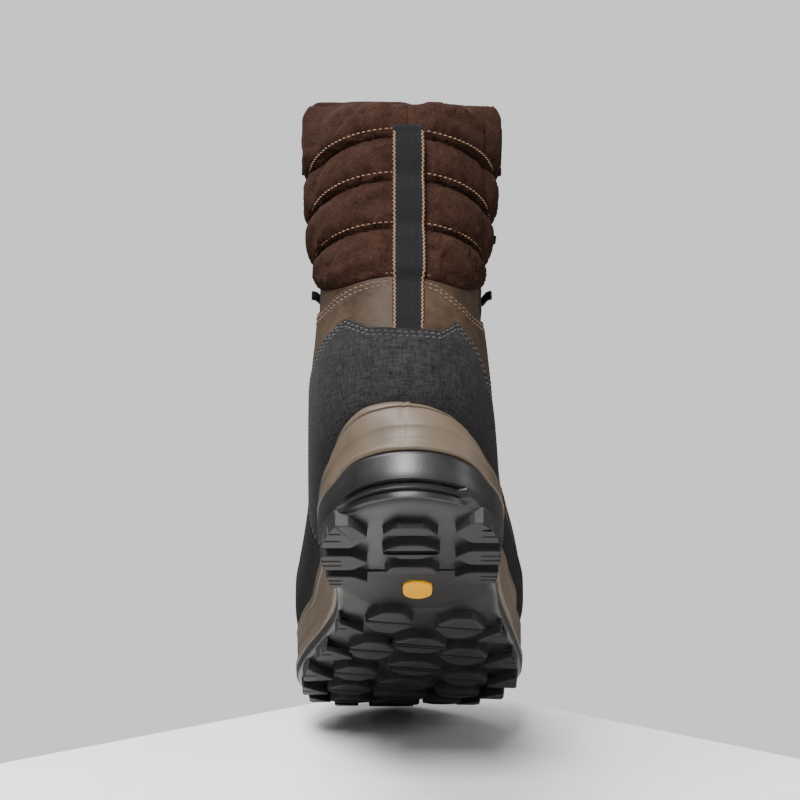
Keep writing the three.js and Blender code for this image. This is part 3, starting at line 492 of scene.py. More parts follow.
def make_object(name, points, faces, material, body="boot", smooth=True):
    """A mesh piece from points in millimetres, riding on a body."""
    mesh = bpy.data.meshes.new(name)
    mesh.from_pydata(to_frame(points).tolist(), [], [tuple(int(i) for i in face) for face in faces])
    mesh.materials.append(MATERIALS[material])
    mesh.validate()
    piece = bpy.data.objects.new(name, mesh)
    bpy.context.collection.objects.link(piece)
    work = bmesh.new()
    work.from_mesh(mesh)
    bmesh.ops.recalc_face_normals(work, faces=work.faces)
    work.to_mesh(mesh)
    work.free()
    if smooth:
        mesh.shade_smooth()
        mesh.set_sharp_from_angle(angle=math.radians(40))
    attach(piece, body)
    return piece


class Sheet:
    """A piece of the last's surface: places (t, phi) and the polygons between them."""

    def __init__(self, t, phi, faces):
        self.t, self.phi, self.faces = np.asarray(t), np.asarray(phi), faces
        self._points = None

    @property
    def points(self):
        if self._points is None:
            self._points = last_point(self.t, self.phi)
        return self._points

    @property
    def normals(self):
        return last_normal(self.t, self.phi)

    def cut(self, field, keep_outside=False, value=0.0):
        """Splits the polygons where field(points) passes value; drops the lower part unless told to keep it."""
        level = field(self.points) - value
        level[np.abs(level) < 1e-3] = 1e-3
        new_t, new_phi, made = [], [], {}
        count = len(self.t)
        inside, outside = [], []

        def crossing(a, b):
            key = (a, b) if a < b else (b, a)
            if key not in made:
                f = level[key[0]] / (level[key[0]] - level[key[1]])
                made[key] = count + len(new_t)
                new_t.append(self.t[key[0]] + f * (self.t[key[1]] - self.t[key[0]]))
                new_phi.append(self.phi[key[0]] + f * (self.phi[key[1]] - self.phi[key[0]]))
            return made[key]

        above = level > 0
        for face in self.faces:
            signs = [above[i] for i in face]
            if all(signs):
                inside.append(face)
            elif not any(signs):
                outside.append(face)
            else:
                upper, lower = [], []
                for a, b in zip(face, face[1:] + face[:1]):
                    (upper if above[a] else lower).append(a)
                    if above[a] != above[b]:
                        middle = crossing(a, b)
                        upper.append(middle)
                        lower.append(middle)
                inside.append(tuple(upper))
                outside.append(tuple(lower))
        faces = inside + outside if keep_outside else inside
        t = np.concatenate([self.t, new_t])
        phi = np.concatenate([self.phi, new_phi])
        used = np.unique(np.fromiter((i for face in faces for i in face), dtype=int))
        index = np.full(len(t), -1)
        index[used] = np.arange(len(used))
        return Sheet(t[used], phi[used], [tuple(index[list(face)].tolist()) for face in faces])

    def lines(self, field, value):
        """The lines along which field(points) has a value, each as arrays of t and phi."""
        level = field(self.points) - value
        level[np.abs(level) < 1e-3] = 1e-3
        above = level > 0
        links = {}
        place = {}
        for face in self.faces:
            ends = []
            for a, b in zip(face, face[1:] + face[:1]):
                if above[a] != above[b]:
                    key = (a, b) if a < b else (b, a)
                    f = level[key[0]] / (level[key[0]] - level[key[1]])
                    place[key] = (self.t[key[0]] + f * (self.t[key[1]] - self.t[key[0]]),
                                  self.phi[key[0]] + f * (self.phi[key[1]] - self.phi[key[0]]))
                    ends.append(key)
            for a, b in zip(ends[::2], ends[1::2]):
                links.setdefault(a, []).append(b)
                links.setdefault(b, []).append(a)
        found, seen = [], set()
        for start in sorted(links, key=lambda key: (len(links[key]), key)):
            if start in seen:
                continue
            chain = [start]
            seen.add(start)
            while True:
                ahead = [key for key in links[chain[-1]] if key not in seen]
                if not ahead:
                    break
                chain.append(ahead[0])
                seen.add(ahead[0])
            if len(chain) > 2:
                t, phi = np.array([place[key] for key in chain]).T
                found.append((t, phi))
        return found


def grid(t_range, phi_range, step=2.0):
    """A sheet over a rectangle of t and phi with cells of about step millimetres."""
    rows = max(int((t_range[1] - t_range[0]) * 22 / step), 2)
    columns = max(int((phi_range[1] - phi_range[0]) * 50 / step), 2)
    t, phi = np.meshgrid(np.linspace(*t_range, rows + 1), np.linspace(*phi_range, columns + 1), indexing="ij")
    width = columns + 1
    faces = [(r * width + c, r * width + c + 1, (r + 1) * width + c + 1, (r + 1) * width + c)
             for r in range(rows) for c in range(columns)]
    return Sheet(t.ravel(), phi.ravel(), faces)


def thicken(sheet, inner, outer):
    """Points and faces of a closed shell between two heights above a sheet."""
    points, normals = sheet.points, sheet.normals
    count = len(points)
    low = points + normals * np.broadcast_to(inner, count)[:, None]
    high = points + normals * np.broadcast_to(outer, count)[:, None]
    faces = [tuple(face) for face in sheet.faces]
    edges = {}
    for face in sheet.faces:
        for a, b in zip(face, face[1:] + face[:1]):
            edges[(a, b)] = edges.get((a, b), 0) + 1
    rim = [(a, b) for (a, b) in edges if (b, a) not in edges]
    faces += [tuple(count + i for i in reversed(face)) for face in sheet.faces]
    faces += [(b, a, count + a, count + b) for a, b in rim]
    return np.concatenate([high, low]), faces


def side_line(points, samples=12):
    """A smooth side-view line as a function that gives its height at each y."""
    rows = np.array(points, dtype=float)
    places = np.linspace(0, len(rows) - 1, (len(rows) - 1) * samples + 1)
    fine = blend_rows(rows, places)
    return lambda y: np.interp(y, fine[:, 0], fine[:, 1])


# ------------------------------------------------------------------ the stage

TOE_REST = (300, 18.5)  # where the boot rests on the table: distance from the back of the heel, and height
TABLE_CORNER = (7.5, 72)  # the table's far corner, from the toe's resting place: across, and along the slope
TABLE_EDGE = 900
TABLE_THICKNESS = 12
TABLE_TURN = math.radians(46)


def table_point(across, along, lift=0.0):
    c, s = math.cos(TABLE_TILT), math.sin(TABLE_TILT)
    return (across, TOE_REST[0] + along * c - lift * s, TOE_REST[1] + along * s + lift * c)


def add_stage():
    corner = np.array(TABLE_CORNER)
    left = TABLE_EDGE * np.array([-math.sin(TABLE_TURN), -math.cos(TABLE_TURN)])
    right = TABLE_EDGE * np.array([math.cos(TABLE_TURN), -math.sin(TABLE_TURN)])
    outline = [corner, corner + left, corner + left + right, corner + right]
    points = [table_point(*place, lift) for lift in (-TABLE_THICKNESS, -0.3) for place in outline]
    faces = [(0, 1, 2, 3), (7, 6, 5, 4)]
    faces += [(i, (i + 1) % 4, 4 + (i + 1) % 4, 4 + i) for i in range(4)]
    mesh = bpy.data.meshes.new("table")
    mesh.from_pydata(to_frame(points).tolist(), [], faces)
    table = bpy.data.objects.new("table", mesh)
    bpy.context.collection.objects.link(table)
    work = bmesh.new()
    work.from_mesh(mesh)
    bmesh.ops.recalc_face_normals(work, faces=work.faces)
    bmesh.ops.bevel(work, geom=work.edges[:], offset=0.0012, segments=3, affect="EDGES")
    work.to_mesh(mesh)
    work.free()
    material, tree, shader = new_material("white_laminate")
    speckle = noise(tree, object_coords(tree), 40, 3, 0.5)
    colour = ramp(tree, speckle, [(0.3, srgb(236, 234, 231)), (0.7, srgb(240, 239, 236))])
    tree.links.new(colour, shader.inputs["Base Color"])
    shader.inputs["Roughness"].default_value = 0.35
    mesh.materials.append(material)


# place (across, towards the camera, up from the table), size, power, in millimetres and watts
LIGHTS = [
    ((-260, 1250, 1450), 650, 70),
    ((-500, 100, 1700), 900, 46),
    ((1300, 300, 500), 600, 6),
    ((-500, -1300, 900), 900, 16),
]


def add_lights():
    centre = np.array([0, 110, 110])
    up = np.array([0, -math.sin(TABLE_TILT), math.cos(TABLE_TILT)])
    near = np.array([0, -math.cos(TABLE_TILT), -math.sin(TABLE_TILT)])
    for i, ((across, towards, height), size, power) in enumerate(LIGHTS):
        light = bpy.data.lights.new(f"softbox_{i}", "AREA")
        light.size = size * MM
        light.energy = power
        holder = bpy.data.objects.new(f"softbox_{i}", light)
        bpy.context.collection.objects.link(holder)
        place = Vector(to_frame(centre + np.array([across, 0, 0]) + near * towards + up * height))
        aim = Vector(to_frame(centre)) - place
        holder.matrix_world = Matrix.Translation(place) @ aim.to_track_quat("-Z", "Y").to_matrix().to_4x4()
    world = bpy.data.worlds.new("studio")
    world.use_nodes = True
    tree = world.node_tree
    backdrop = tree.nodes["Background"]
    backdrop.inputs["Color"].default_value = (0.98, 0.98, 0.985, 1)
    fill = node(tree, "ShaderNodeBackground", {"Color": (0.2, 0.2, 0.203, 1)})
    seen = node(tree, "ShaderNodeLightPath").outputs["Is Camera Ray"]
    mixed = node(tree, "ShaderNodeMixShader", {0: seen, 1: fill.outputs[0], 2: backdrop.outputs[0]})
    tree.links.new(mixed.outputs[0], tree.nodes["World Output"].inputs["Surface"])
    bpy.context.scene.world = world


# ------------------------------------------------------------------ laces

OVERLAY_TOP = 2.0
LACING = [8.3, 9.9, 11.6, 13.4, 15.3, 17.1, 18.7]  # rings with lacing hardware, from the toe up
LOOP_ROWS = 4  # the rest are hooks
STATION_IN_FROM_EDGE = 6.5
PLATE = 0.9
HARDWARE_LENGTH = 4.6
SEAT_CLEARANCE = 1.5
LACE_SEAT = PLATE + LACE_DIAMETER / 2 + 0.3
LACE_LIFT = OVERLAY_TOP + SEAT_CLEARANCE + LACE_SEAT
LACE_STRAIGHT = HARDWARE_LENGTH / 2 + 4
KNOT_RING, KNOT_LIFT = 19.1, 7.5
# free stretches of lace: x from the middle, height, distance from the last
TO_KNOT = [[37, 249, 6], [30, 255, 7], [20, 260, 7.5], [11, 262, 8]]
BOW_LOOP = [
    [7.5, 268, 9.5], [13, 271, 10.5], [19, 270, 11.5], [24, 264, 13], [27, 254, 14], [27.5, 243, 14.5],
    [25, 234, 14.5], [20, 231, 14.5], [16, 237, 14], [13.5, 246, 13], [9.5, 255, 12], [6, 258, 12],
]
LACE_END = [
    [3, 253, 13.5], [5.5, 246, 14], [8.5, 236, 14], [9, 224, 14], [7.5, 212, 14], [8.5, 200, 14],
    [10.5, 189, 14], [10, 178, 14], [9.5, 170, 14],
]


def unit(vector):
    return vector / np.linalg.norm(vector)


def front_route(rows):
    return [last_offset(*front_at(x, z), lift)[0] for x, z, lift in rows]


def on_side(rows, side):
    return front_route([(CENTRE_X + side * x, z, lift) for x, z, lift in rows])


def lacing_station(t, side):
    z = last_point(t, PI / 2)[0, 2]
    phi = phi_at_x(t, CENTRE_X + side * (throat_half(z) + STATION_IN_FROM_EDGE))[0]
    seat = last_offset(t, phi, OVERLAY_TOP + SEAT_CLEARANCE)[0]
    out = last_normal(t, phi)[0]
    up = unit((last_point(t + 0.1, phi) - last_point(t - 0.1, phi))[0])
    away = unit(np.cross(up, out)) * -side
    along = unit(np.cross(away, out))
    if along[2] < 0:
        along = -along
    return t, phi, seat, out, away, along


def station_end(row, side, upwards):
    t, phi, _, _, _, along = lacing_station(LACING[row], side)
    return last_point(t, phi)[0] + along * upwards


def crossing(start, end, hump, sag=0.0):
    rows = []
    for share in (0.25, 0.5, 0.75):
        point = start + (end - start) * share
        middle = 1 - abs(2 * share - 1)
        rows.append((point[0], point[2] - sag * middle, LACE_LIFT + hump * middle))
    return front_route(rows)


def strand(first_side, hump):
    points = []
    for row in range(len(LACING)):
        side = first_side if row % 2 == 0 else -first_side
        for end in (-LACE_STRAIGHT, LACE_STRAIGHT):
            _, _, seat, out, _, along = lacing_station(LACING[row], side)
            points.append(seat + out * LACE_SEAT + along * end)
        if row < len(LACING) - 1:
            following = station_end(row + 1, -side, -LACE_STRAIGHT)
            points += crossing(station_end(row, side, LACE_STRAIGHT), following, hump)
    return points


def smooth_route(points, samples=6):
    rows = np.array(points)
    return blend_rows(rows, np.linspace(0, len(rows) - 1, (len(rows) - 1) * samples + 1))


def lace_curve(name, points, diameter=LACE_DIAMETER, material="lace"):
    """A lace as a curve of one open spline."""
    route = to_frame(smooth_route(points))
    curve = bpy.data.curves.new(name, "CURVE")
    curve.dimensions = "3D"
    curve.bevel_depth = diameter / 2 * MM
    curve.bevel_resolution = 4
    curve.use_fill_caps = True
    spline = curve.splines.new("POLY")
    spline.points.add(len(route) - 1)
    for point, place in zip(spline.points, route):
        point.co = (*place, 1)
    curve.materials.append(MATERIALS[material])
    piece = bpy.data.objects.new(name, curve)
    bpy.context.collection.objects.link(piece)
    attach(piece, "boot")
    length = float(np.linalg.norm(np.diff(route, axis=0), axis=1).sum())
    return piece, length, tuple(float(v) for v in route[0])


def lathe(name, centre, axis, profile, material, sides=24):
    """A turned piece: its profile gives (distance along the axis, radius)."""
    axis = unit(np.array(axis, dtype=float))
    side = unit(np.cross(axis, [0.3, 0.2, 1]))
    other = np.cross(axis, side)
    points, faces = [], []
    for along, radius in profile:
        for k in range(sides):
            angle = 2 * PI * k / sides
            points.append(centre + axis * along + radius * (side * math.cos(angle) + other * math.sin(angle)))
    for row in range(len(profile) - 1):
        for k in range(sides):
            a, b = row * sides + k, row * sides + (k + 1) % sides
            faces.append((a, b, b + sides, a + sides))
    faces.append(tuple(range(sides)))
    faces.append(tuple(reversed(range(len(points) - sides, len(points)))))
    return make_object(name, points, faces, material)


def add_knot():
    """Two wraps of lace around the crossing, as the middle of a bow has."""
    centre = last_offset(KNOT_RING, PI / 2, KNOT_LIFT)[0]
    out = last_normal(KNOT_RING, PI / 2)[0]
    up = unit(np.cross(out, [1, 0, 0]))
    steps = np.linspace(0, 2 * PI * 2.25, 60)
    route = [centre + np.array([-2.2 + 4.4 * s / steps[-1], 0, 0])
             + up * 4.1 * math.cos(s) + out * 3.3 * math.sin(s)
             for s in steps]
    knot, _, _ = lace_curve("lace_knot_wraps", route[::2])
    core = [centre + np.array([x, 0, 0]) + out * (1.2 - 0.03 * x * x) for x in (-6.5, -3, 0, 3, 6.5)]
    band, _, _ = lace_curve("lace_knot_core", core, LACE_DIAMETER * 1.25)
    for piece in (knot, band):
        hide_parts("lace_knot")


def add_laces():
    down = strand(1, 0)[::-1]
    up = strand(-1, 1.25 * LACE_DIAMETER)
    bottom = crossing(station_end(0, 1, -LACE_STRAIGHT), station_end(0, -1, -LACE_STRAIGHT), 0, 4)
    whole = on_side(TO_KNOT, 1)[::-1] + down + bottom + up + on_side(TO_KNOT, -1)
    run, _, _ = lace_curve("lace_crossings", whole)
    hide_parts("lace_run")
    add_knot()
    for side, name in ((-1, "medial"), (1, "lateral")):
        loop, length, start = lace_curve(f"{name}_bow", on_side(BOW_LOOP, side))
        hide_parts(f"{name}_bow_loop")
        route = on_side(LACE_END, side)
        tail, length, start = lace_curve(f"{name}_lace_tail", route)
        direction = unit(route[-1] - route[-2])
        radius = LACE_DIAMETER / 2 + 0.2
        tip = lathe(f"{name}_lace_tip", route[-1] + direction * 0.3, direction, [
            (0, radius * 0.96), (0.4, radius), (3, radius * 0.94), (6, radius * 0.9), (13, radius * 0.86),
            (15.2, radius * 0.8), (16, radius * 0.55),
        ], "aglet")
        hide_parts(f"{name}_lace_end")
        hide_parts(f"{name}_aglet")


# ------------------------------------------------------------------ panels of the upper

SUEDE_TOP = 2.4  # how far the quilted collar stands off the last


COLLAR_LINE = side_line([[-30, 126], [10, 126], [30, 130], [60, 146], [80, 156], [105, 168], [160, 186]])
BOARD_LINE = side_line([
    [-30, 50], [8, 50], [30, 46], [62, 43], [100, 39], [134, 36], [164, 33], [190, 31], [214, 30], [238, 31],
    [260, 33], [278, 36], [292, 41], [320, 50],
])
RAND_TOP = side_line([[120, 74], [134, 72], [165, 62], [200, 57], [235, 57], [262, 62], [320, 62]])
COUNTER_TOP_MEDIAL = side_line([
    [-30, 126], [10, 125.5], [20, 125], [36, 124.6], [52, 128.7], [75, 138.5], [90, 146],
])
COUNTER_TOP_LATERAL = side_line([
    [-30, 126], [10, 125.5], [16, 122.8], [22, 120.5], [33, 118.7], [50, 123], [70, 133], [90, 144],
])
PANEL_CENTRE = (-3.5, 60)
# the heel panel's upper edge: angle about its centre in plan, 0 at the back and negative inside, and height
PANEL_EDGE = np.array([
    [-155, 72], [-130, 83], [-102, 92], [-77, 97], [-58, 101], [-32.5, 107], [-17, 97], [0, 94.7],
    [17.8, 96], [29.5, 105.5], [45, 99], [62, 88], [90, 82.6], [130, 75], [155, 72],
])
QUILT_LINES = [
    side_line([[-30, 154], [10, 154], [75, 163.5], [140, 176]]),
    side_line([[-30, 182], [10, 182], [75, 187.5], [140, 197]]),
    side_line([[-30, 206], [10, 206], [75, 213], [140, 224]]),
]
VAMP_Y = 163
PANEL_FRONT_Y = 134
EYESTAY_WIDTH = 17
THROAT_BOTTOM = 106


def above_board(points):
    return points[:, 2] - BOARD_LINE(points[:, 1]) + 4 + 5 * soften(points[:, 1], 270, 290)


def from_throat(points):
    """Distance from the edge of the opening in front; large behind and below it."""
    x, y, z = points.T
    sideways = np.abs(x - CENTRE_X) - throat_half(z)
    below = THROAT_BOTTOM - z
    outside = np.where(below > 0, np.hypot(np.maximum(sideways, 0), below), sideways)
    return np.where(y < 78, np.maximum(outside, 78 - y), outside)


def behind_stay(points):
    """Distance behind the rear edge of the eyestays, negative on them."""
    x, y, z = points.T
    return np.maximum(np.abs(x - CENTRE_X) - throat_half(z) - EYESTAY_WIDTH, 80 - y)


def below_collar(points):
    return COLLAR_LINE(points[:, 1]) - points[:, 2]


def counter_edge(points):
    x, y, z = points.T
    top = np.where(x < STRAP_X, COUNTER_TOP_MEDIAL(y), COUNTER_TOP_LATERAL(y))
    front = np.interp(z, [20, 80, 110, 140], [72, 76, 84, 79])
    return np.minimum(top - z, front - y)


def panel_edge(points):
    x, y, z = points.T
    angle = np.degrees(np.arctan2(x - PANEL_CENTRE[0], PANEL_CENTRE[1] - y))
    return np.minimum(np.interp(angle, PANEL_EDGE[:, 0], PANEL_EDGE[:, 1]) - z, PANEL_FRONT_Y - y)


def rand_edge(points):
    return np.minimum(RAND_TOP(points[:, 1]) - points[:, 2], points[:, 1] - PANEL_FRONT_Y - 0.3)


def drop_at_edges(sheet, fields, radius):
    """How much lower a panel's face is near its rounded edges."""
    points = sheet.points
    near = np.min([field(points) for field in fields], axis=0)
    inward = 1 - np.clip(near / radius, 0, 1)
    return radius * (1 - np.sqrt(np.maximum(1 - inward ** 2, 0)))


def add_panel(name, sheet, edges, material, replaces, inner, outer, radius=1.3, limits=(), seams=(),
              dip=0.35, thread="brown_thread"):
    """A stitched panel: cut to its edges, rounded there, and pressed in along its seams."""
    for field in limits:
        sheet = sheet.cut(field)
    for field in edges:
        sheet = sheet.cut(field)
        for value in (0.35, 1.0, radius + 0.6):
            sheet = sheet.cut(field, keep_outside=True, value=value)
    for field, value in seams:
        for shift in (-1.0, 0.0, 1.0):
            sheet = sheet.cut(field, keep_outside=True, value=value + shift)
    face = outer - drop_at_edges(sheet, edges, radius) if edges else np.full(len(sheet.t), float(outer))
    for field, value in seams:
        face = face - dip * np.clip(1 - np.abs(field(sheet.points) - value), 0, 1)
    points, faces = thicken(sheet, inner, face)
    piece = make_object(name, points, faces, material)
    if replaces:
        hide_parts(*replaces)
    for number, (field, value) in enumerate(seams):
        add_stitches(f"{name}_stitches_{number + 1}", sheet.lines(field, value), outer - dip + 0.2, thread)
    return sheet


def add_stitches(name, lines, lift, material, spacing=3.1, length=2.3, radius=0.42,
                 zigzag=0.0):
    """A row of stitches along lines of the last, each a small rounded capsule."""
    rings = [(-0.5, 0.35), (-0.38, 0.9), (0, 1.1), (0.38, 0.9), (0.5, 0.35)]
    sides = 6
    points, faces = [], []
    for t, phi in lines:
        route = last_point(t, phi)
        gone = np.concatenate([[0], np.cumsum(np.linalg.norm(np.diff(route, axis=0), axis=1))])
        if gone[-1] < spacing * 2:
            continue
        middles = np.arange(spacing / 2, gone[-1] - spacing / 2, spacing)
        place_t, place_phi = np.interp(middles, gone, t), np.interp(middles, gone, phi)
        seats = last_offset(place_t, place_phi, np.interp(middles, gone, np.broadcast_to(lift, gone.shape)))
        outs = last_normal(place_t, place_phi)
        aheads = np.stack([
            np.interp(middles + 0.8, gone, route[:, k]) - np.interp(middles - 0.8, gone, route[:, k])
            for k in range(3)
        ], axis=1)
        for number, (seat, out, ahead) in enumerate(zip(seats, outs, aheads)):
            ahead = unit(ahead - out * ahead.dot(out))
            across = np.cross(ahead, out)
            if zigzag:
                turn = zigzag if number % 2 else -zigzag
                ahead, across = (ahead * math.cos(turn) + across * math.sin(turn),
                                 across * math.cos(turn) - ahead * math.sin(turn))
            start = len(points)
            for share, girth in rings:
                middle = seat + ahead * share * length - out * 0.5 * (2 * share) ** 2
                for k in range(sides):
                    angle = 2 * PI * k / sides
                    spoke = across * math.cos(angle) + out * math.sin(angle)
                    points.append(middle + radius * girth * spoke)
            for row in range(len(rings) - 1):
                for k in range(sides):
                    a, b = start + row * sides + k, start + row * sides + (k + 1) % sides
                    faces.append((a, b, b + sides, a + sides))
            faces.append(tuple(range(start, start + sides)))
            faces.append(tuple(reversed(range(start + (len(rings) - 1) * sides, start + len(rings) * sides))))
    if points:
        make_object(name, points, faces, material)


def halves(name):
    """The two sides of a piece that is split at the back seam: name, side, and the field that splits it."""
    for side, word in ((-1, "medial"), (1, "lateral")):
        yield f"{word}_{name}", word, lambda points, side=side: side * (points[:, 0] - STRAP_X) - 0.15


BACK_RANGE = (PI / 2, PI * 2.5)
FRONT_RANGE = (-PI / 2, PI * 1.5)


def add_upper():
    vamp = grid((-1, 12.5), FRONT_RANGE, 2.2)
    rear = lambda p: p[:, 1] - VAMP_Y + 4
    add_panel("vamp_leather", vamp, [rear, from_throat], "leather", ["vamp"], -1.8, 0.9, 1.0,
              limits=[above_board], seams=[(rear, 2.4), (rear, 4.8)])

    shaft = grid((7.6, 20), BACK_RANGE, 2.2)
    for name, word, half in halves("quarter_leather"):
        back = lambda p: 163.5 - p[:, 1]
        add_panel(name, shaft, [below_collar_or_stay], "leather", [f"{word}_quarter"], -1.8, 0.0, 1.0,
                  limits=[half, above_board, back, from_throat])
    add_panel("counter_leather", grid((7.6, 17), BACK_RANGE, 2.0), [counter_edge], "leather",
              ["heel_counter_cover"], -1.8, 1.15, 1.0, limits=[above_board],
              seams=[(counter_edge, 2.6), (counter_edge, 5.2)])
    add_panel("heel_panel_textile", grid((8.2, 16.4), BACK_RANGE, 1.8), [panel_edge], "textile",
              ["heel_panel"], 0.2, 2.1, 1.3, limits=[above_board],
              seams=[(panel_edge, 2.4), (panel_edge, 4.8)], thread="black_thread")
    add_panel("toe_rand_rubber", grid((-1, 10.5), FRONT_RANGE, 1.8), [rand_edge], "rand", ["toe_rand"],
              0.2, 2.1, 1.3, limits=[above_board])
    stay_front = grid((6.4, 20), (0.05, PI - 0.05), 1.6)
    for side, word in ((-1, "medial"), (1, "lateral")):
        half = lambda p, side=side: side * (p[:, 0] - CENTRE_X) - 0.4
        stay_edge = lambda p: -behind_stay(p)
        level = lambda p: p[:, 2] - THROAT_BOTTOM + 14
        add_panel(f"{word}_eyestay_leather", stay_front, [from_throat, stay_edge], "leather",
                  [f"{word}_eyestay"], 0.2, 2.05, 1.3, limits=[half, level],
                  seams=[(from_throat, 2.4), (stay_edge, 2.4)])


def below_collar_or_stay(points):
    """The quarters end at the collar, except beside the opening, where they carry the eyestays."""
    return np.maximum(below_collar(points), 2 - behind_stay(points))


# ------------------------------------------------------------------ quilted collar

def collar_top(points_t):
    return (20 - points_t) * 22


def droop(sheet):
    """Lets the collar's edge hang a little lower on the outer side."""
    outwards = np.maximum(np.cos(sheet.phi), 0)
    sheet.t = sheet.t - 0.4 * outwards * soften(sheet.t, 18.6, 20)
    return sheet


def roll_in(t, points):
    """How far the padded edge leans inwards over its last centimetre, away from the opening in front."""
    lean = np.clip((t - 18.85) / 1.15, 0, 1)
    slope = 4.2 * soften(t, 16.2, 19) * soften(from_throat(points), 18, 34)
    roll = 1 - np.sqrt(np.maximum(1 - 0.97 * lean ** 2, 0))
    return slope + 8.5 * roll * soften(from_throat(points), 18, 34)


def quilt_distance(points):
    """Distance to the nearest sewn channel."""
    return np.min([np.abs(points[:, 2] - line(points[:, 1])) for line in QUILT_LINES], axis=0)


def puff_height(sheet, edges):
    points = sheet.points
    near = np.minimum(quilt_distance(points), collar_top(sheet.t) + 1.2)
    for field in edges:
        near = np.minimum(near, field(points))
    rise = 1 - np.clip(near / 11, 0, 1)
    beside_strap = soften(np.abs(points[:, 0] - STRAP_X), STRAP_WIDTH / 2 + 0.5, STRAP_WIDTH / 2 + 7)
    under_strap = (1 - beside_strap) * (points[:, 1] < 60)
    fill = np.sqrt(np.maximum(1 - rise ** 2.2, 0))
    return -1.8 + (SUEDE_TOP + 3.4) * fill - 2.4 * fill * under_strap, near * (1 - under_strap)


def quilt_by_cloth(piece, loose, growth):
    """Lets the fabric between the seams swell and crease under a little pressure, with its seams held."""
    start = np.empty(len(piece.data.vertices) * 3)
    piece.data.vertices.foreach_get("co", start)
    group = piece.vertex_groups.new(name="held")
    for i, weight in enumerate(loose):
        group.add([i], float(1 - weight), "REPLACE")
    cloth = piece.modifiers.new("cloth", "CLOTH")
    settings = cloth.settings
    settings.vertex_group_mass = "held"
    settings.mass = 0.15
    settings.tension_stiffness = settings.compression_stiffness = 12
    settings.shear_stiffness = 6
    settings.bending_stiffness = 0.4
    settings.use_pressure = True
    settings.uniform_pressure_force = 3.0
    settings.shrink_min = settings.shrink_max = -growth
    settings.effector_weights.gravity = 0
    cloth.collision_settings.use_collision = False
    cloth.point_cache.frame_start, cloth.point_cache.frame_end = 1, 20
    for number in range(1, 21):
        bpy.context.scene.frame_set(number)
    shaped = piece.evaluated_get(bpy.context.evaluated_depsgraph_get()).to_mesh()
    after = np.empty(len(start))
    shaped.vertices.foreach_get("co", after)
    piece.modifiers.remove(cloth)
    piece.vertex_groups.clear()
    bpy.context.scene.frame_set(1)
    move = (after - start).reshape(-1, 3)
    distance = np.linalg.norm(move, axis=1)
    move *= (np.minimum(distance, 1.3 * MM) / np.maximum(distance, 1e-9))[:, None]
    piece.data.vertices.foreach_set("co", (start.reshape(-1, 3) + move).ravel())
    piece.data.update()


def add_collar():
    shaft = grid((15.6, 20), BACK_RANGE, 1.7)
    above_line = lambda p: -below_collar(p) + 0.6
    stay = lambda p: behind_stay(p) - 0.2
    for name, word, half in halves("collar_suede"):
        sheet = shaft.cut(half).cut(above_line).cut(stay)
        for field in (above_line, stay):
            for value in (0.5, 1.6, 3.4):
                sheet = sheet.cut(field, keep_outside=True, value=value)
        for line in QUILT_LINES:
            field = lambda p, line=line: p[:, 2] - line(p[:, 1])
            for value in (-3.0, -1.2, -0.4, 0.4, 1.2, 3.0):
                sheet = sheet.cut(field, keep_outside=True, value=value)
        face, near = puff_height(sheet, [above_line, stay])
        lean = roll_in(sheet.t, sheet.points)
        sheet = droop(sheet)
        points, faces = thicken(sheet, -3.2 - lean, face - lean)
        piece = make_object(name, points, faces, "suede")
        loose = np.clip((near - 0.6) / 2.0, 0, 1)
        inner = np.zeros(len(sheet.t))
        quilt_by_cloth(piece, np.concatenate([loose, inner]), 0.07)
        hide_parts(f"{word}_collar_pad")
        for number, line in enumerate(QUILT_LINES):
            field = lambda p, line=line: p[:, 2] - line(p[:, 1])
            add_stitches(f"{word}_quilt_{number + 1}", sheet.lines(field, 2.2), 1.5, "tan_thread",
                         2.9, 1.9, 0.3)
        add_stitches(f"{word}_collar_foot_stitches", sheet.lines(above_line, 2.2), 0.6, "brown_thread",
                     2.9, 2.2, 0.4)


# ------------------------------------------------------------------ strap up the back

STRAP_RINGS = (14.85, 19.2)


def add_strap():
    t = np.linspace(*STRAP_RINGS, 90)
    u = np.linspace(-0.5, 0.5, 15)
    rows, columns = np.meshgrid(t, u, indexing="ij")
    phi = phi_at_x(rows.ravel(), STRAP_X + columns.ravel() * STRAP_WIDTH, back=True)
    width = len(u)
    faces = [(r * width + c, r * width + c + 1, (r + 1) * width + c + 1, (r + 1) * width + c)
             for r in range(len(t) - 1) for c in range(width - 1)]
    sheet = Sheet(rows.ravel(), phi, faces)
    z = sheet.points[:, 2]
    start = COLLAR_LINE(np.array([10.0]))[0]
    bulge = np.clip(quilt_distance(sheet.points) / 8, 0, 1)
    lift = (SUEDE_TOP + 0.3) * soften(z, start - 4, start + 3) * (0.5 + 0.5 * bulge) + 0.6
    lift = lift + 0.7 * soften(z, 96, 102) - 0.7
    edge = 1 - np.clip((0.5 - np.abs(columns.ravel())) * STRAP_WIDTH / 1.2, 0, 1)
    ends = soften(z, 207, 211)
    points, faces = thicken(sheet, lift - 1.0, lift + 1.5 - 0.5 * edge ** 2 - 1.8 * ends)
    piece = make_object("back_strap_webbing", points, faces, "webbing")
    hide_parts("back_strap")
    for number, column in enumerate((-0.43, 0.43)):
        line_t = t[2:-3]
        line_phi = phi_at_x(line_t, np.full(len(line_t), STRAP_X + column * STRAP_WIDTH), back=True)
        heights = last_point(line_t, line_phi)
        line_lift = ((SUEDE_TOP + 0.3) * soften(heights[:, 2], start - 4, start + 3)
                     * (0.5 + 0.5 * np.clip(quilt_distance(heights) / 8, 0, 1)) + 2.05
                     - 0.7 * (1 - soften(heights[:, 2], 96, 102)))
        add_stitches(f"strap_edge_{number + 1}", [(line_t, line_phi)], line_lift, "tan_thread",
                     1.15, 2.2, 0.4, 0.7)


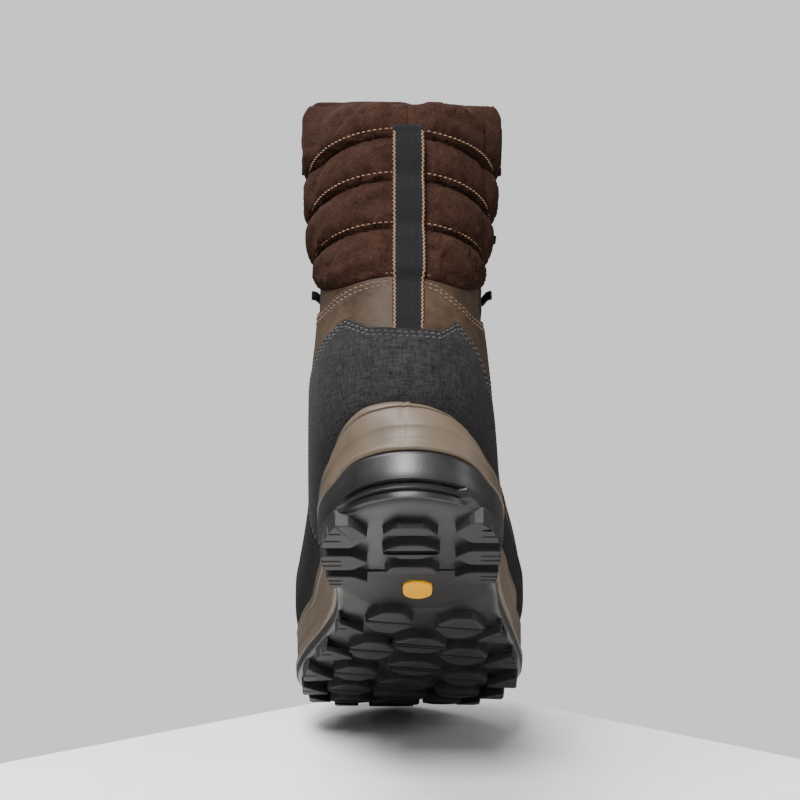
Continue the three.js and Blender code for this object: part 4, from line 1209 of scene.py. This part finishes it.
# ------------------------------------------------------------------ tongue, lining and footbed

LINER_IN, LINER_OUT = -7.2, -3.5
TONGUE_ROWS = (7.6, 20.05)


def patch_object(name, t, phi, width, inner, outer, material, body):
    faces = [(r * width + c, r * width + c + 1, (r + 1) * width + c + 1, (r + 1) * width + c)
             for r in range(len(t) // width - 1) for c in range(width - 1)]
    sheet = Sheet(t, phi, faces)
    points, faces = thicken(sheet, inner, outer)
    return make_object(name, points, faces, material, body), sheet


def add_tongue():
    columns, rows = 41, 120
    v, u = np.meshgrid(np.linspace(0, 1, rows), np.linspace(0, 1, columns), indexing="ij")
    v, u = v.ravel(), u.ravel()
    t = TONGUE_ROWS[0] + (TONGUE_ROWS[1] - TONGUE_ROWS[0]) * v
    z = last_point(t, np.full(len(t), PI / 2))[:, 2]
    corner = 1 - 0.45 * np.clip((v - 0.93) / 0.07, 0, 1) ** 2
    half = np.minimum(throat_half(z) + 6, 38) * corner
    phi = phi_at_x(t, CENTRE_X + (0.5 - u) * 2 * half)
    crown = np.maximum(np.sin(PI * u), 0) ** 1.5 * soften(v, 0.14, 0.34)
    edge = np.minimum(np.minimum(u, 1 - u) * 2 * half, np.minimum(v, 1 - v) * 200)
    round_off = 1 - np.sqrt(np.maximum(1 - (1 - np.clip(edge / 2.4, 0, 1)) ** 2, 0))
    channels = sum(np.exp(-((z - height) / 1.3) ** 2) for height in (150, 178, 206, 234, 262, 284))
    outer = LINER_IN - 1.6 + 5 * crown - 1.4 * round_off - 0.9 * channels * soften(crown, 0.05, 0.4)
    inner = LINER_IN - 5 - 3 * crown + 1.4 * round_off
    piece, _ = patch_object("tongue_padding", t, phi, columns, inner, outer, "tongue", "tongue")
    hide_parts("tongue")


def add_lining():
    lining = grid((-0.6, 20), FRONT_RANGE, 2.6)
    gap = lambda p: from_throat(p) - 2
    sheet = lining.cut(gap)
    fold = soften(sheet.t, 19.8, 20)
    lean = roll_in(sheet.t, sheet.points)
    sheet = droop(sheet)
    points, faces = thicken(sheet, LINER_IN - lean, LINER_OUT - 0.6 * fold - lean)
    piece = make_object("lining_fleece", points, faces, "lining")
    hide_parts("insulated_liner")
    phi = np.linspace(PI / 2, PI * 2.5, 200)
    places = last_point(np.full(200, 20.0), phi)
    keep = (np.abs(places[:, 0] - CENTRE_X) > throat_half(places[:, 2]) + 2) | (places[:, 1] < 78)
    edge = droop(Sheet(np.full(keep.sum(), 20.0), phi[keep], []))
    route = last_offset(edge.t, edge.phi, -2.6 - roll_in(np.full(keep.sum(), 20.0), places[keep]))
    route[:, 2] -= 0.4
    edging, _, _ = lace_curve("collar_piping", route[::3], 5.2, "suede")


def add_footbed():
    columns, rows = 25, 60
    v, u = np.meshgrid(np.linspace(0, 1, rows), np.linspace(0, 1, columns), indexing="ij")
    v, u = v.ravel(), u.ravel()
    t = 1.1 + v * 11.3
    reach = 0.74 + 0.06 * soften(t, 8, 12)
    phi = 1.5 * PI + (u - 0.5) * reach * PI * 0.56
    rim = np.clip(np.minimum(np.minimum(u, 1 - u) * 12, np.minimum(v, 1 - v) * 60), 0, 1)
    top = LINER_IN - 6.3 + 2 * np.abs(2 * u - 1) ** 2 + 0.8 * (1 - rim)
    piece, _ = patch_object("footbed_knit", t, phi, columns, top, np.full(len(t), LINER_IN - 1.8), "footbed",
                            "footbed")
    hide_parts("footbed")


# ------------------------------------------------------------------ the sole

OUTSOLE_TOP = side_line([
    [-10, 28.5], [-2, 28.5], [6, 27], [14, 24.5], [22, 21], [40, 20.5], [75, 19], [110, 13], [145, 11],
    [320, 11],
])
CUP_TOP = {
    -1: side_line([[-10, 59], [-2, 59], [4, 56.5], [11, 53], [22, 48.5], [30, 44], [45, 40.5], [65, 37.5],
                    [100, 36], [190, 33], [320, 33]]),
    1: side_line([[-10, 59], [-2, 59], [4, 55.5], [10, 51.5], [15, 46.5], [20, 41.5], [33, 37], [50, 35.5],
                   [100, 35], [190, 33], [320, 33]]),
}
STATIONS = 90


def edge_line(side, outset):
    """One side of the sole's outline, moved outwards by outset(x, y, side)."""
    rows, others = (MEDIAL_EDGE, LATERAL_EDGE) if side < 0 else (LATERAL_EDGE, MEDIAL_EDGE)
    whole = np.concatenate([[others[1]], rows, [others[-2]]])  # runs on smoothly around both ends
    places = (1 - np.cos(np.linspace(0, PI, STATIONS + 1))) / 2
    places = 1 + (0.45 * np.linspace(0, 1, STATIONS + 1) + 0.55 * places) * (len(rows) - 1)
    x, y = blend_rows(whole, places).T
    dx, dy = (blend_rows(whole, places + 0.03) - blend_rows(whole, places - 0.03)).T
    length = np.hypot(dx, dy)
    nx, ny = side * dy / length, -side * dx / length
    nx[[0, -1]], ny[0], ny[-1] = 0, -1, 1
    reach = outset(x, y, side)
    return x + nx * reach, y + ny * reach


def sole_loop(outset, height):
    """A closed ring of points around the sole: up the outer side and back down the inner one."""
    loops = []
    for side in (1, -1):
        x, y = edge_line(side, outset)
        loops.append(np.stack([x, y, height(y, side)], axis=1))
    return np.concatenate([loops[0], loops[1][1:-1][::-1]])


def loft(loops):
    size = len(loops[0])
    faces = []
    for level in range(len(loops) - 1):
        for i in range(size):
            j = (i + 1) % size
            a, b = level * size, (level + 1) * size
            faces.append((a + i, a + j, b + j, b + i))
    for start in (0, (len(loops) - 1) * size):
        for i in range(STATIONS):
            r0, r1 = start + i, start + i + 1
            l0, l1 = start + (size - i) % size, start + size - i - 1
            corners = [r0, r1, l1, l0]
            faces.append(tuple(dict.fromkeys(corners)))
    return np.concatenate(loops), faces


def tread_root(y):
    return spring(y) + LUG_DEPTH + 3.5 * soften(y, 82, 92) * (1 - soften(y, 122, 134))


RIB_HEIGHTS = (4.0, 7.4, 10.8, 14.2)  # lower edges of the steps cut into the back of the bumper


def rib_zone(x, y, height):
    """1 at the back of the heel, where the bumper is stepped; the steps end on slanting lines."""
    left = soften(x, -37 + 0.4 * (height - 5), -35 + 0.4 * (height - 5))
    right = 1 - soften(x, 31 - 0.8 * (height - 5), 32.5 - 0.8 * (height - 5))
    return left * right * (1 - soften(y, 25, 29))


def add_outsole():
    shares = sorted({0, 0.03, 0.2, 0.36, 0.44, 0.5, 0.58, 0.66, 0.74, 0.82, 0.89, 0.93, 0.965, 0.985, 1}
                    | {(rib - 5) / 23 + shift for rib in RIB_HEIGHTS[1:] for shift in (-0.05, -0.002, 0.002)})
    loops = []
    for share in shares:
        def outset(x, y, side, share=share):
            bevel = 1 - soften(y, 0, 30)
            round_back = math.sqrt(1 - (1 - min(share / 0.62, 1)) ** 2)
            profile = -4 - 7 * bevel + (4.5 + 7 * bevel) * round_back
            height = 5 + 23 * share
            above = min((rib for rib in RIB_HEIGHTS if rib > height), default=None)
            undercut = 0.0 if above is None else 3.4 - 0.75 * (above - height)
            lip = max(share - 0.93, 0) / 0.07
            return profile - undercut * rib_zone(x, y, height) - 1.2 * lip ** 2

        def height(y, side, share=share):
            return tread_root(y) + (OUTSOLE_TOP(y) + spring(y) - tread_root(y)) * share

        loops.append(sole_loop(outset, height))
    points, faces = loft(loops)
    piece = make_object("outsole_rubber", points, faces, "rubber")
    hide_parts("outsole")


def room_to_upper(side):
    """How far inside the sole's outline the upper stands, at the height of the midsole's edge."""
    sheet = grid((-1, 16.5), FRONT_RANGE, 5)
    upper = BVHTree.FromPolygons(last_offset(sheet.t, sheet.phi, OVERLAY_TOP).tolist(), sheet.faces)
    x, y = edge_line(side, lambda x, y, side: np.full(len(x), 12.0))
    inner_x, inner_y = edge_line(side, lambda x, y, side: np.full(len(x), 0.0))
    heights = CUP_TOP[side](y) + spring(y)
    distances = []
    for outer, inner, z in zip(zip(x, y), zip(inner_x, inner_y), heights):
        start = Vector((*outer, z))
        ahead = Vector((inner[0] - outer[0], inner[1] - outer[1], 0))
        hit = upper.ray_cast(start, ahead, 40)
        distances.append(hit[3] - 12 if hit[3] is not None else 6.0)
    distances = np.clip(distances, -2, 11)
    padded = np.pad(distances, 3, mode="edge")
    return np.convolve(padded, np.ones(7) / 7, mode="valid")


def add_midsole():
    # share of the height, and how far the wall stands out there
    profile = [(0, -0.6), (0.01, 0.3), (0.03, 0.8), (0.07, 0.85), (0.1, 0.3), (0.12, 0.25), (0.2, 0.25),
               (0.215, -0.15), (0.235, -0.2), (0.4, -0.25), (0.42, 0.1), (0.44, 0.15), (0.6, 0.1), (0.74, 0),
               (0.775, -0.2), (0.79, -1.0), (0.815, -1.0), (0.83, -0.2), (0.88, -0.1), (0.95, -0.55),
               (0.985, -1.1), (1, -2.0)]
    room = {side: room_to_upper(side) for side in (-1, 1)}
    loops = []
    for share, reach in profile:
        def outset(x, y, side, share=share, reach=reach):
            flare = 6 * soften(y, 80, 120) * (1 - soften(y, 150, 190))
            lean = max(share - 0.5, 0) / 0.5
            reach = reach - 0.45 * np.exp(-((x + 4) / 0.9) ** 2) * (y < 8)
            return reach + flare * min(share * 2, 1) ** 0.7 - (room[side] - 1.8) * lean ** 1.6

        def height(y, side, share=share):
            low = OUTSOLE_TOP(y) + 0.3
            return low + (CUP_TOP[side](y) - low) * share + spring(y)

        loops.append(sole_loop(outset, height))
    for tuck, sink in ((2.5, 0.1), (5.0, 2.0)):
        loops.append(sole_loop(lambda x, y, side, tuck=tuck: -room[side] - tuck,
                               lambda y, side, sink=sink: CUP_TOP[side](y) - sink + spring(y)))
    points, faces = loft(loops)
    piece = make_object("midsole_cup", points, faces, "foam")
    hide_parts("midsole")


HEEL_LUGS_MEDIAL = [[21, 46], [55.5, 72], [80, 93]]
HEEL_LUGS_LATERAL = [[17.5, 40], [49.5, 65.5], [75, 88]]
FORE_TURN = 0.2
FORE_LUGS = [
    # middle of each octagon, half width, length
    [[-10.5, 138], 10.5, 24], [[24.5, 145.5], 11, 24], [[4.5, 168], 12.5, 18],
    [[-19.5, 175], 10.5, 21], [[27, 183], 11, 21], [[1.5, 198.5], 13, 17],
    [[-28, 206], 10.5, 18], [[28, 214], 10.5, 18], [[-3, 223], 13, 17],
    [[-31.5, 233], 10.5, 18], [[24.5, 241], 10.5, 18], [[-5.5, 248], 13, 16],
    [[-31, 259], 10, 17], [[17, 266], 9.5, 16], [[-8, 272], 12, 15], [[-10, 293], 11, 12],
]
FORE_SIDE_LUGS = [
    # side, outer edge, inner tip, back, front
    [-1, 39, 24, 136, 151], [-1, 49, 30, 170, 185], [-1, 55, 40, 199, 214], [-1, 56, 43, 226, 240],
    [-1, 53, 42, 250, 263], [-1, 40, 28, 274, 284], [1, 50, 34, 146, 162], [1, 55, 38, 181, 196],
    [1, 55, 40, 212, 226], [1, 49, 36, 240, 252], [1, 37, 25, 264, 276],
]


def edge_x(y, side, inset):
    x, along = edge_line(side, lambda x, y, side: np.full(len(x), -inset))
    order = np.argsort(along)
    return np.interp(y, along[order], x[order])


def densify(outline, step=2.5):
    points = []
    for a, b in zip(outline, np.roll(outline, -1, axis=0)):
        count = max(int(np.linalg.norm(b - a) / step), 1)
        points += [a + (b - a) * i / count for i in range(count)]
    return np.array(points)


def round_corners(outline, cut=1.4):
    """Each corner becomes two, so that the lug's edges are soft in plan."""
    points = []
    count = len(outline)
    for i in range(count):
        here, before, after = outline[i], outline[i - 1], outline[(i + 1) % count]
        for other in (before, after):
            length = np.linalg.norm(other - here)
            points.append(here + (other - here) * min(cut / length, 0.35))
    return np.array(points)


def inset(outline, amount):
    """A closed outline with its points moved inwards along their normals."""
    ahead = np.roll(outline, -1, axis=0) - np.roll(outline, 1, axis=0)
    ahead /= np.maximum(np.linalg.norm(ahead, axis=1), 1e-9)[:, None]
    x, y = outline.T
    turn = np.sign(np.sum(x * np.roll(y, -1) - np.roll(x, -1) * y))
    return outline + turn * amount * np.stack([-ahead[:, 1], ahead[:, 0]], axis=1)


class Tread:
    """Gathers all lugs into one mesh."""

    def __init__(self):
        self.points, self.faces = [], []

    def block(self, outline, height, chamfer=0.95):
        """A lug with chamfered lower edges, from the plate down to height above the ground."""
        outline = densify(round_corners(np.array(outline, dtype=float)))
        for side in (-1, 1):
            limit = edge_x(outline[:, 1], side, 1.0)
            beyond = side * (outline[:, 0] - limit) > 0
            outline[beyond, 0] = limit[beyond]
        start, size = len(self.points), len(outline)
        for level, share in ((LUG_DEPTH + 3.2, -0.9), (height + 1.2, 0), (height + 0.4, 0.25), (height, 1)):
            ring = inset(outline, share * chamfer)
            self.points += [(x, y, level + spring(y)) for x, y in ring]
        for level in range(3):
            for i in range(size):
                a, b = start + level * size + i, start + level * size + (i + 1) % size
                self.faces.append((a, b, b + size, a + size))
        self.faces.append(tuple(start + 3 * size + i for i in range(size)))
        self.faces.append(tuple(start + i for i in reversed(range(size))))

    def slit(self, outline, side, outer, root, cuts, width=1.3):
        """A side lug with narrow slits cut into its outer end at the given distances from the heel."""
        notches = []
        for cut in sorted(cuts, reverse=True):
            notches += [[side * outer, cut + width / 2], [side * root, cut + width / 3],
                        [side * root, cut - width / 3], [side * outer, cut - width / 2]]
        self.block([*outline, *notches], 0.0, 0.4)
        self.block(inset(np.array(outline, dtype=float), 0.7), LUG_DEPTH * 0.6)

    def split(self, outline, middle, normal, gap=1.5):
        """A lug cut across by a narrow slot with a floor halfway up."""
        outline = np.array(outline, dtype=float)
        for sign in (-1, 1):
            self.block(clip_polygon(outline, np.array(middle), sign * np.array(normal), gap / 2), 0.0)
        self.block(inset(outline, 0.8), LUG_DEPTH * 0.55)


def clip_polygon(outline, origin, normal, offset):
    """The part of a polygon that lies more than offset along the normal."""
    level = (outline - origin) @ normal - offset
    kept = []
    for i in range(len(outline)):
        j = (i + 1) % len(outline)
        if level[i] > 0:
            kept.append(outline[i])
        if (level[i] > 0) != (level[j] > 0):
            kept.append(outline[i] + (outline[j] - outline[i]) * level[i] / (level[i] - level[j]))
    return np.array(kept)


def octagon(centre, half, length, turn):
    w, l = half, length / 2
    corners = np.array([
        [-0.4 * w, -l], [0.4 * w, -l], [w, -0.25 * l], [w, 0.25 * l],
        [0.4 * w, l], [-0.4 * w, l], [-w, 0.25 * l], [-w, -0.25 * l],
    ])
    c, s = math.cos(turn), math.sin(turn)
    return np.array(centre) + corners @ np.array([[c, s], [-s, c]])


def add_tread():
    tread = Tread()
    for side, rows in ((-1, HEEL_LUGS_MEDIAL), (1, HEEL_LUGS_LATERAL)):
        for back, front in rows:
            middle = (back + front) / 2
            corners = ((43, back), (28, back), (20, middle), (28, front), (43, front))
            outline = [[side * x, y] for x, y in corners]
            tread.slit(outline, side, 43, 33, [back + (front - back) * share for share in (0.36, 0.68)])
    for centre, half, length in FORE_LUGS:
        normal = (-math.sin(FORE_TURN), math.cos(FORE_TURN))
        tread.split(octagon(centre, half + 0.9, length + 1.2, FORE_TURN), centre, normal)
    for side, outer, inner, back, front in FORE_SIDE_LUGS:
        outline = [[side * outer, back - 2], [side * (inner + 4), front - 6], [side * (inner - 1.5), front],
                   [side * outer, front + 2.5]]
        tread.slit(outline, side, outer, (inner + outer) / 2, [(back + front) / 2 + 1.5])
    tread.block([[-8, 23], [7, 23], [13, 32], [-14, 32]], 0.0)
    tread.split(octagon((0, HEEL_REST), 13.4, 16, 0), (0, HEEL_REST), (0, 1), 2.2)
    tread.block([[-9, 69], [9, 69], [14, 77], [-13, 77]], 0.0)
    lugs = make_object("tread_lugs", tread.points, tread.faces, "tread", smooth=False)
    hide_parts("outsole")


INSERT_X, INSERT_Y = (-4, 10.5), (97, 118)


def add_insert():
    """The yellow insert in the shank: a plain slot shape with a softened lower edge."""
    middle = np.array([sum(INSERT_X) / 2, sum(INSERT_Y) / 2])
    radius = (INSERT_X[1] - INSERT_X[0]) / 2
    straight = (INSERT_Y[1] - INSERT_Y[0]) / 2 - radius
    angles = np.linspace(0, 2 * PI, 48, endpoint=False)
    loops = []
    for height, tuck in ((8, 0), (5.4, 0), (4.95, 0.15), (4.7, 0.45), (4.6, 0.9)):
        x = (radius - tuck) * np.cos(angles)
        y = (radius - tuck) * np.sin(angles) + np.sign(np.sin(angles)) * straight
        loops.append(np.stack([middle[0] + x, middle[1] + y, np.full(len(x), float(height))], axis=1))
    size = len(angles)
    faces = [(r * size + i, r * size + (i + 1) % size, (r + 1) * size + (i + 1) % size, (r + 1) * size + i)
             for r in range(len(loops) - 1) for i in range(size)]
    faces += [tuple(range(size)), tuple(range((len(loops) - 1) * size, len(loops) * size))]
    piece = make_object("shank_insert", np.concatenate(loops), faces, "insert")
    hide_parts("sole_insert")


# ------------------------------------------------------------------ CAD pieces that stay

def finish_cad():
    looks = {
        "shank_plate": "shank", "sole_insert": "insert", "insole_board": "board", "toe_puff": "board",
        "heel_counter": "board",
    }
    for row in range(len(LACING)):
        kind = "loop" if row < LOOP_ROWS else "hook"
        for word in ("medial", "lateral"):
            looks[f"{word}_lace_{kind}_{row + 1}"] = "metal"
    for name, look in looks.items():
        holder = bpy.data.objects[name]
        holder.data.materials.clear()
        holder.data.materials.append(MATERIALS[look])


add_camera()
add_laces()
add_stage()
add_lights()
add_outsole()
add_tread()
add_insert()
add_midsole()
add_upper()
add_collar()
add_strap()
add_tongue()
add_lining()
add_footbed()
finish_cad()
